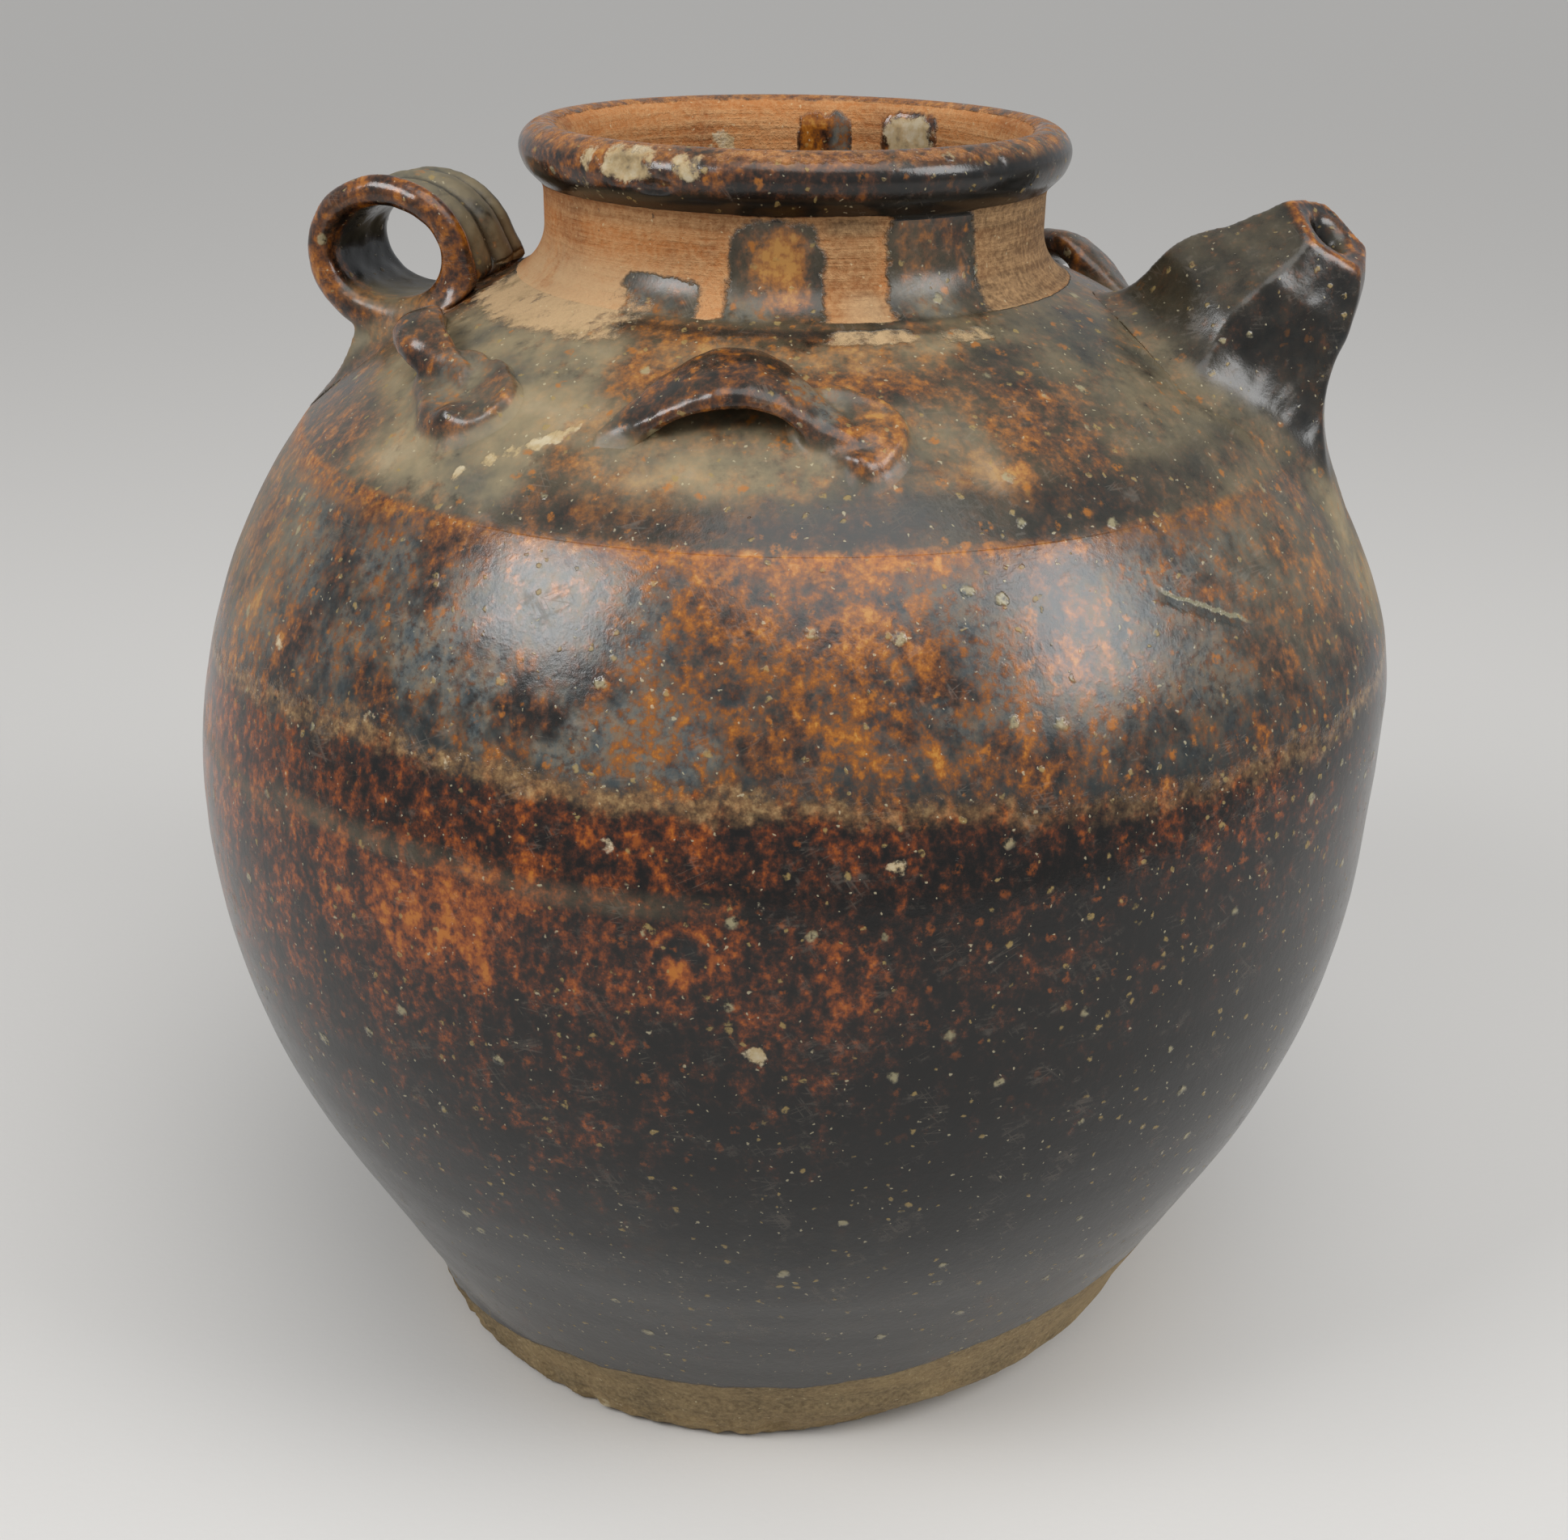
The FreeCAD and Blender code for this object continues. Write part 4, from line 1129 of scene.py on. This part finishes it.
def paintAttached(piece, name):
    warmth, dusty, edging = attachedLooks[name]
    hollow = hollowness(piece, 14)
    coords = coordsOf(piece)
    size = len(hollow)
    edge = smoothstep(0.03, 0.22, -hollow)
    deep = smoothstep(0.02, 0.20, hollow)
    facingUp = np.clip(normalsOf(piece)[:, 2], 0, 1)
    stand = valuesOf(piece, "stand")
    nearSkin = 1 - smoothstep(0.2, 2.2, stand)
    mapped = {"warmthAndShade": warmth + 0.06 * edge - 0.15 * deep, "ridge": edge * edging, "pool": 0.5 * deep,
              "filmAndSheen": np.full(size, 0.08), "dust": dusty * facingUp ** 1.5 + 0.45 * nearSkin,
              "coat": np.full(size, 20.0), "hem": np.full(size, 60.0), "calm": np.full(size, 0.5)}
    bearing, far, height = polar(coords)
    if name == "ringHandle":
        # amber on the front bead, dusty hollows behind it, and painted shade inside the ring and in its
        # grooves
        across, side = headed(handleForm["facing"])
        local = coords - handleForm["centre"]
        back = -(local @ side)
        front = 1 - smoothstep(-5.6, -3.8, back)
        out = np.hypot(local @ across / handleForm["outer"][0], local[:, 2] / handleForm["outer"][1])
        skinSide = smoothstep(0.80, 0.92, out)
        grooves = sum(np.exp(-((back - at) / 0.55) ** 2) for at in (-3.9, 0.3, 5.1))
        grooves += smoothstep(6.6, 7.6, back)
        # painted shade: the ring's inner faces and the grooves are drawn darker
        mapped["warmthAndShade"] = 0.55 * front + (0.34 - 0.46 * (1 - skinSide) - 0.25 * grooves) * (1 - front)
        mapped["filmAndSheen"] *= 0
        mapped["dust"] = dusty * (1 - front) * skinSide * facingUp ** 0.5
        mapped["dust"] *= 1 - 0.85 * np.clip(grooves, 0, 1)
        below = -local[:, 2]
        mapped["dust"] += 1.1 * smoothstep(7.5, 11.0, below)
        mapped["dust"] += 0.8 * facingUp * smoothstep(3, 6, below) * (1 - skinSide)
        mapped["warmthAndShade"] -= 0.15 * smoothstep(8, 12, below)
        mapped["ridge"] *= front
    if name == "pouringSpout":
        # an amber lip round the mouth
        out, side = headed(spoutForm["bearing"])
        corner, low, _ = spoutForm["stations"][0]
        span = np.subtract(corner, low)
        ahead = ((coords @ out - low[0]) * span[1] - (height - low[1]) * span[0]) / np.hypot(*span)
        mouth = smoothstep(-1.1, -0.2, ahead - spoutForm["skew"] * (coords @ side))
        mapped["ridge"] = 0.85 * mouth * edge
        mapped["warmthAndShade"] += 0.22 * mouth
        mapped["dust"] *= 1 - mouth

    def spot(at, distance, inner, outer):
        # 1 round a place on the shoulder, falling to 0 between the two reaches
        away = np.radians(bearing - at) * distance
        return 1 - smoothstep(inner, outer, np.hypot(away, far - distance))

    if name == "lugFrontRight":
        # amber blob on the pad, blue-grey pool beside it
        pad = spot(-79.0, 57.5, 3.0, 6.5)
        mapped["warmthAndShade"] += 0.20 * pad
        mapped["calm"] = 0.9 - 1.1 * pad
        mapped["filmAndSheen"] += 1.6 * spot(-86.75, 54.0, 2.6, 4.2)
    if name == "lugFrontLeft":
        mapped["filmAndSheen"] += 0.9 * spot(-138.0, 56, 3.0, 6.0)
    own = smoothstep(0.1, 1.0, stand) if name in lugForms else smoothstep(0.2, 2.6, stand)
    for key, values in skinAt(coords).items():
        setAttribute(piece, key, values * (1 - own) + mapped.get(key, 0) * own)


for piece in courses.values():
    paintCourse(piece)
paintRim(courses["rimRoll"])
for name, piece in attached.items():
    paintAttached(piece, name)
print("glaze mapped")


def linear(hexColour):
    # sRGB hex to the linear colour that Blender mixes
    parts = [int(hexColour[i:i + 2], 16) / 255 for i in (1, 3, 5)]
    return tuple(c / 12.92 if c <= 0.04045 else ((c + 0.055) / 1.055) ** 2.4 for c in parts) + (1.0,)


# Mottling and breaks in the skin: size of the pattern in millimetres, detail, roughness, and how
# far it is drawn out downwards (1 is not at all)
mottles = {
    "broad": (16.0, 2.0, 0.50, 0.72),
    "runs": (3.8, 2.0, 0.60, 0.20),
    "blotch": (2.9, 4.0, 0.68, 0.72),
    "small": (1.1, 3.0, 0.65, 1.0),
    "cloud": (11.0, 4.0, 0.62, 1.0),
    "ragged": (5.0, 5.0, 0.70, 1.0),
    "crumb": (2.4, 4.0, 0.65, 1.0),
    "sand": (0.8, 4.0, 0.70, 1.0),
}
# Round grains: cell and radius in millimetres, share of the cells that hold one, relief
grainKinds = {
    "grit": (1.25, 0.25, 0.55, 0.02),
    "crystals": (2.2, 0.60, 0.50, 0.03),
    "clots": (6.0, 1.15, 0.62, 0.08),
    "pits": (4.5, 0.25, 0.50, -0.15),
    "rust": (2.8, 1.05, 0.66, 0.0),
    "specks": (2.2, 0.28, 0.30, 0.0),
}


def grains(tree, at, cell, radius, share):
    # one grain to a cell, its size varied, and only this share of the cells filled
    cells = node(tree, "TexVoronoi", {"Vector": at, "Scale": 1.0 / cell, "Randomness": 1.0})
    tint = node(tree, "SeparateColor", [cells.outputs["Color"]])
    filled = node(tree, "Math", [tint.outputs[0], share], operation="LESS_THAN")
    grown = node(tree, "MapRange",
                 {"Value": tint.outputs[1], "To Min": radius / cell * 0.4, "To Max": radius / cell})
    close = node(tree, "Math", [cells.outputs["Distance"], grown], operation="DIVIDE")
    disc = node(tree, "MapRange",
                {"Value": close, "From Min": 0.5, "From Max": 1.0, "To Min": 1.0, "To Max": 0.0},
                interpolation_type="SMOOTHSTEP")
    return node(tree, "Math", [disc, filled], operation="MULTIPLY")


def broken(tree, amount, pattern, low, high):
    # an amount broken up by a pattern, so that it frays where there is little of it
    edge = node(tree, "MapRange", {"Value": pattern, "From Min": low, "From Max": high},
                interpolation_type="SMOOTHSTEP")
    return node(tree, "Math", [amount, edge], operation="MULTIPLY", use_clamp=True)


def stepped(tree, line, pattern, sway, low, high):
    # crosses from 0 to 1 between two values of a line that the pattern sways to and fro
    swayed = node(tree, "Math", [pattern, sway, -sway / 2], operation="MULTIPLY_ADD")
    swayed = node(tree, "Math", [line, swayed], operation="ADD")
    return node(tree, "MapRange", {"Value": swayed, "From Min": low, "From Max": high},
                interpolation_type="SMOOTHSTEP")


# Iron (tenmoku) glaze over wheel-thrown stoneware: a glassy skin, near black where thick and rust to
# amber where it thins, with tan crystals, pinholes, kiln grit, scratches and dust in the hollows.
# Bare stoneware below its hem: buff, sandy and matt, with iron specks and grog, and throwing lines
# where thrown is near 1.
def stoneware(name, clay, thrown):
    material = bpy.data.materials.new(name)
    material.use_nodes = True
    tree = material.node_tree
    tree.nodes.clear()
    place = node(tree, "TexCoord").outputs["Object"]
    inMm = node(tree, "VectorMath", {0: place, "Scale": 1000.0}, operation="SCALE")
    held = {key: node(tree, "Attribute", attribute_name=key).outputs["Fac"]
            for key in ("coat", "hem", "warmthAndShade", "ridge", "pool", "filmAndSheen", "dust", "bare", "pale", "grimeAndShade",
                        "cream", "calm", "aside", "scratchWithHighlight", "dipLine")}
    mottle = {}
    for key, (size, detail, rough, drawn) in mottles.items():
        runny = node(tree, "VectorMath", [inMm, (1, 1, drawn)], operation="MULTIPLY")
        mottle[key] = node(tree, "TexNoise",
                           {"Vector": runny, "Scale": 1 / size, "Detail": detail, "Roughness": rough})
    # the outlines of the grains stray by about half of this many millimetres
    stray = 1.3
    crumbs = node(tree, "TexNoise", {"Vector": inMm, "Scale": 0.9, "Detail": 2.0})
    ragged = node(tree, "VectorMath", [crumbs.outputs["Color"], (stray, stray, stray), inMm],
                  operation="MULTIPLY_ADD")
    grain = {key: grains(tree, ragged, *kind[:3]) for key, kind in grainKinds.items()}

    # how thin the glaze lies: what the map says, and four kinds of mottling about it
    weights = {"broad": 0.40, "runs": 0.45, "blotch": 1.20, "small": 0.85}
    uneven = -sum(weights.values()) / 2
    for key, weight in weights.items():
        uneven = node(tree, "Math", [mottle[key], weight, uneven], operation="MULTIPLY_ADD")
    lively = node(tree, "Math", [held["calm"], -0.6, 1.0], operation="MULTIPLY_ADD")
    thin = node(tree, "Math", [uneven, lively, held["warmthAndShade"]], operation="MULTIPLY_ADD")
    thick = node(tree, "ValToRGB", [thin], stops=[
        (0.0, "#020202"), (0.28, "#050302"), (0.40, "#120906"), (0.50, "#29140a"), (0.60, "#45200d"),
        (0.70, "#6a320e"), (0.80, "#8a4510"), (0.95, "#a8631b")])
    twice = node(tree, "ValToRGB", [thin], stops=[
        (0.0, "#0b0c0b"), (0.28, "#171310"), (0.40, "#2a1c14"), (0.50, "#44291a"), (0.58, "#5a351c"),
        (0.67, "#774519"), (0.78, "#93571b"), (0.94, "#b07a33")])
    secondDip = stepped(tree, held["coat"], mottle["ragged"], 9.0, -1.0, 1.2)
    glaze = node(tree, "Mix", {0: secondDip, 6: thick, 7: twice}, data_type="RGBA").outputs[2]

    # hair scratches: contour lines of a long drawn pattern at three tilts, in patches
    hairs = 0.0
    for tilt in (0.0, 0.45, -1.0):
        turned = node(tree, "VectorRotate", {"Vector": inMm, "Angle": tilt}, rotation_type="Y_AXIS")
        drawn = node(tree, "VectorMath", [turned, (0.05, 0.05, 0.8)], operation="MULTIPLY")
        waves = node(tree, "TexNoise", {"Vector": drawn, "Scale": 1.0, "Detail": 1.0})
        off = node(tree, "Math", [waves, 0.5], operation="SUBTRACT")
        off = node(tree, "Math", [off], operation="ABSOLUTE")
        line = node(tree, "MapRange", {"Value": off, "From Max": 0.035, "To Min": 1.0, "To Max": 0.0})
        hairs = node(tree, "Math", [line, hairs], operation="MAXIMUM")
    hairs = broken(tree, hairs, mottle["ragged"], 0.52, 0.66)

    rust = broken(tree, grain["rust"], mottle["small"], 0.40, 0.60)
    rust = broken(tree, rust, held["warmthAndShade"], 0.16, 0.42)
    rustTint = node(tree, "Mix", {0: secondDip, 6: linear("#82420f"), 7: linear("#a5651f")},
                    data_type="RGBA").outputs[2]
    crystals = broken(tree, grain["crystals"], mottle["sand"], 0.36, 0.52)
    clots = broken(tree, grain["clots"], mottle["small"], 0.34, 0.54)
    # the grey film with its painted sheen, kept to where the glaze lies thick
    filmAndSheen = broken(tree, held["filmAndSheen"], mottle["cloud"], 0.36, 0.60)
    filmAndSheen = broken(tree, filmAndSheen, thin, 0.86, 0.46)
    filmAndSheen = broken(tree, filmAndSheen, mottle["small"], 0.76, 0.40)
    settled = stepped(tree, held["coat"], mottle["ragged"], 9.0, 1.4, 4.6)
    settled = node(tree, "Math", [secondDip, settled], operation="SUBTRACT")
    settled = broken(tree, settled, mottle["blotch"], 0.62, 0.44)
    strayed = node(tree, "Math", [mottle["crumb"], 1.6, held["aside"]], operation="MULTIPLY_ADD")
    scratchGrooveAndHighlight = []
    # a pale line along the scratch's upper edge, which is painted highlight, and a dark line in it
    for middle, reach in ((0.80, 0.36), (0.15, 1.0)):
        away = node(tree, "Math", [strayed, middle], operation="SUBTRACT")
        away = node(tree, "Math", [away], operation="ABSOLUTE")
        scratchGrooveAndHighlight.append(broken(tree, held["scratchWithHighlight"], away, reach, 0.4 * reach))
    dust = broken(tree, held["dust"], mottle["ragged"], 0.16, 0.56)
    worn = broken(tree, held["ridge"], mottle["crumb"], 0.34, 0.56)
    dipEdge = stepped(tree, held["coat"], mottle["ragged"], 9.0, -3.6, -0.6)
    dipEdge = node(tree, "Math", [dipEdge, secondDip], operation="SUBTRACT")
    dipEdge = node(tree, "Math", [dipEdge, held["dipLine"]], operation="MULTIPLY")
    dipEdge = broken(tree, dipEdge, mottle["crumb"], 0.32, 0.56)
    pale = stepped(tree, held["pale"], mottle["crumb"], 2.2, 0.45, 0.80)
    pale = node(tree, "Math", [pale, 0.85], operation="MULTIPLY")
    paleTint = node(tree, "ValToRGB", [mottle["crumb"]], stops=[
        (0.35, "#85765a"), (0.5, "#b19b72"), (0.65, "#c4b698")])
    wornTint = node(tree, "ValToRGB", [mottle["small"]], stops=[
        (0.30, "#5f300e"), (0.46, "#96530f"), (0.60, "#b8741f"), (0.76, "#c49a5c")])
    dipTint = node(tree, "ValToRGB", [mottle["small"]], stops=[
        (0.32, "#573e27"), (0.50, "#84633f"), (0.66, "#a88a5e")])
    filmAndSheenTint = node(tree, "ValToRGB", [mottle["blotch"]], stops=[
        (0.36, "#4d5557"), (0.46, "#66665f"), (0.56, "#7a6e5c"), (0.68, "#8a6f4c")])
    dustTint = node(tree, "ValToRGB", [mottle["cloud"]], stops=[
        (0.34, "#5d5a4c"), (0.46, "#7f745a"), (0.58, "#958666"), (0.72, "#a89777")])
    layers = [
        (held["pool"], 0.76, linear("#171c1d")), (settled, 0.60, linear("#232a2a")), (filmAndSheen, 0.76, filmAndSheenTint),
        (dust, 0.80, dustTint), (worn, 0.92, wornTint), (rust, 0.74, rustTint), (dipEdge, 0.86, dipTint),
        (hairs, 0.15, linear("#96897a")), (scratchGrooveAndHighlight[1], 0.75, linear("#1d2420")),
        (scratchGrooveAndHighlight[0], 0.75, linear("#8f8a70")), (crystals, 0.72, linear("#97804c")),
        (clots, 0.78, linear("#99906f")), (grain["grit"], 0.60, linear("#b9ae8e")),
    ]
    for share, amount, tint in layers:
        share = node(tree, "Math", [share, amount], operation="MULTIPLY", use_clamp=True)
        glaze = node(tree, "Mix", {0: share, 6: glaze, 7: tint}, data_type="RGBA").outputs[2]

    clayTint = node(tree, "ValToRGB", [mottle["cloud"]], stops=[
        (0.32, clay[0]), (0.50, clay[1]), (0.70, clay[2])])
    turns = node(tree, "VectorMath", [inMm, (0.05, 0.05, 1.0)], operation="MULTIPLY")
    lines = node(tree, "TexNoise", {"Vector": turns, "Scale": 0.9, "Detail": 3.0, "Roughness": 0.7})
    thrownLines = node(tree, "Math", [lines, 0.5], operation="SUBTRACT")
    sandy = node(tree, "Math", [thrownLines, thrown, mottle["sand"]], operation="MULTIPLY_ADD")
    sandy = node(tree, "MapRange", {"Value": sandy, "From Min": 0.34, "From Max": 0.72})
    # grimeAndShade: dark olive-brown on the clay, with a painted shadow under the rim's roll among it
    grimeAndShade = broken(tree, held["grimeAndShade"], mottle["ragged"], 0.05, 0.45)
    cream = broken(tree, held["cream"], mottle["ragged"], 0.20, 0.50)
    for share, amount, tint in ((grimeAndShade, 0.85, "#54452f"), (sandy, 0.60, clay[3]), (cream, 0.8, "#bfa078"),
                                (grain["specks"], 0.7, "#42301f"), (grain["grit"], 0.45, "#d5c7a0")):
        share = node(tree, "Math", [share, amount], operation="MULTIPLY")
        clayTint = node(tree, "Mix", {0: share, 6: clayTint, 7: linear(tint)}, data_type="RGBA").outputs[2]

    aboveHem = stepped(tree, held["hem"], mottle["cloud"], 4.0, -0.25, 0.25)
    belowHem = node(tree, "Math", [1.0, aboveHem], operation="SUBTRACT")
    bare = stepped(tree, held["bare"], mottle["crumb"], 0.8, 0.38, 0.62)
    bare = node(tree, "Math", [bare, belowHem], operation="MAXIMUM")
    colour = node(tree, "Mix", {0: bare, 6: glaze, 7: clayTint}, data_type="RGBA").outputs[2]
    colour = node(tree, "Mix", {0: pale, 6: colour, 7: paleTint}, data_type="RGBA").outputs[2]

    rough = node(tree, "Math", [mottle["blotch"], 0.14, 0.13], operation="MULTIPLY_ADD")
    for share, amount in ((dust, 0.40), (filmAndSheen, 0.12), (crystals, 0.20), (hairs, 0.15), (worn, 0.08)):
        rough = node(tree, "Math", [share, amount, rough], operation="MULTIPLY_ADD")
    dry = node(tree, "Math", [bare, pale], operation="MAXIMUM")
    clayRough = 0.86
    rough = node(tree, "Mix", {0: dry, 2: rough, 3: clayRough}).outputs[0]

    # relief in millimetres: the step of the dip, orange peel, grains and pits in the glaze, and
    # sand and throwing lines in the clay
    relief = node(tree, "Math", [secondDip, 0.12], operation="MULTIPLY")
    for share, depth in ((mottle["blotch"], 0.04), (mottle["small"], 0.03), (pale, 0.10), (scratchGrooveAndHighlight[1], -0.12),
                         *((grain[key], kind[3]) for key, kind in grainKinds.items())):
        relief = node(tree, "Math", [share, depth, relief], operation="MULTIPLY_ADD")
    sand = node(tree, "Math", [mottle["sand"], 0.40, -0.45], operation="MULTIPLY_ADD")
    sand = node(tree, "Math", [thrownLines, 0.44 * thrown, sand], operation="MULTIPLY_ADD")
    relief = node(tree, "Mix", {0: bare, 2: relief, 3: sand}).outputs[0]
    bump = node(tree, "Bump", {"Height": relief, "Distance": mm, "Strength": 1.0})
    skin = node(tree, "BsdfPrincipled", {"Base Color": colour, "Roughness": rough, "Normal": bump,
                                         "IOR": 1.5, "Specular IOR Level": 0.5})
    node(tree, "OutputMaterial", {"Surface": skin})
    return material


bodySkin = stoneware("ironGlazedStoneware", ("#5a4a30", "#7c6644", "#8f7a53", "#b09a70"), 0.12)
neckSkin = stoneware("ironSplashedNeckClay", ("#8f5527", "#ad6d36", "#b97c47", "#c9a070"), 0.80)
for name, piece in {**courses, **attached}.items():
    piece.data.materials.clear()
    piece.data.materials.append(neckSkin if name in ("neckCollar", "rimRoll") else bodySkin)
print("materials made")

standsFor = {
    "footSlab": "foot", "lowerCourse": "lower_bowl", "upperCourse": "upper_bowl", "shoulderDome": "shoulder",
    "neckCollar": "neck", "rimRoll": "rim", "pouringSpout": "spout", "ringHandle": "handle",
    "lugFrontRight": "lug_front_right", "lugFrontLeft": "lug_front_left", "lugBackRight": "lug_back_right",
    "lugBackLeft": "lug_back_left",
}
for name, piece in {**courses, **attached}.items():
    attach(piece, "root")
    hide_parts(standsFor[name])
    for polygon in piece.data.polygons:
        polygon.material_index = 0


studio = {
    "floor": "#d0cecb",
    "sky": "#e2e4e6",
    "skyLevel": 0.30,
    "seenLevel": 0.60,
    # the height that the lamps point at
    "aim": 90,
    # bearing, elevation, distance, width, height, watts of the two soft boxes
    "lamps": [(-146, 40, 0.75, 0.30, 0.26, 2.6), (-27, 34, 0.75, 0.30, 0.36, 2.5)],
    "sun": {"bearing": -70, "elevation": 66, "spread": 50, "strength": 1.35},
}


def buildStudio():
    size = 14.0
    corners = [(-size, -size, 0), (size, -size, 0), (size, size, 0), (-size, size, 0)]
    floor = meshObject("studioFloor", corners, (), [(0, 1, 2, 3)])
    paper = bpy.data.materials.new("studioPaper")
    paper.use_nodes = True
    tree = paper.node_tree
    tree.nodes.clear()
    place = node(tree, "TexCoord").outputs["Object"]
    grain = node(tree, "TexNoise", {"Vector": place, "Scale": 900.0, "Detail": 3.0})
    bump = node(tree, "Bump", {"Height": grain, "Distance": 0.0001, "Strength": 0.3})
    skin = node(tree, "BsdfPrincipled",
                {"Base Color": linear(studio["floor"]), "Roughness": 0.9, "Normal": bump})
    node(tree, "OutputMaterial", {"Surface": skin})
    floor.data.materials.append(paper)
    world = bpy.data.worlds.new("studioWorld")
    bpy.context.scene.world = world
    world.use_nodes = True
    tree = world.node_tree
    tree.nodes.clear()
    rays = node(tree, "LightPath")
    seen = node(tree, "Math", [rays.outputs["Is Camera Ray"], rays.outputs["Is Glossy Ray"]],
                operation="MAXIMUM")
    seen = node(tree, "Math", [seen, rays.outputs["Is Transmission Ray"]], operation="MAXIMUM")
    level = node(tree, "MapRange",
                 {"Value": seen, "To Min": studio["skyLevel"], "To Max": studio["seenLevel"]})
    sky = node(tree, "Background", {"Color": linear(studio["sky"]), "Strength": level})
    node(tree, "OutputWorld", {"Surface": sky})
    aim = Vector((0, 0, studio["aim"])) * mm
    for number, (bearing, elevation, distance, width, height, watts) in enumerate(studio["lamps"]):
        data = bpy.data.lights.new(f"softBox{number}", "AREA")
        data.shape = "RECTANGLE"
        data.size, data.size_y = width, height
        data.energy = watts
        placeLamp(data, bearing, elevation, aim, distance)
    sun = bpy.data.lights.new("overcast", "SUN")
    sun.angle = math.radians(studio["sun"]["spread"])
    sun.energy = studio["sun"]["strength"]
    placeLamp(sun, studio["sun"]["bearing"], studio["sun"]["elevation"], aim, 1.0)
    bpy.context.scene.view_settings.view_transform = "Standard"


def placeLamp(data, bearing, elevation, aim, distance):
    lamp = bpy.data.objects.new(data.name, data)
    bpy.context.scene.collection.objects.link(lamp)
    a, e = math.radians(bearing), math.radians(elevation)
    way = Vector((math.cos(a) * math.cos(e), math.sin(a) * math.cos(e), math.sin(e)))
    lamp.location = aim + way * distance
    lamp.rotation_euler = (-way).to_track_quat("-Z", "Y").to_euler()


buildStudio()
print("studio set")
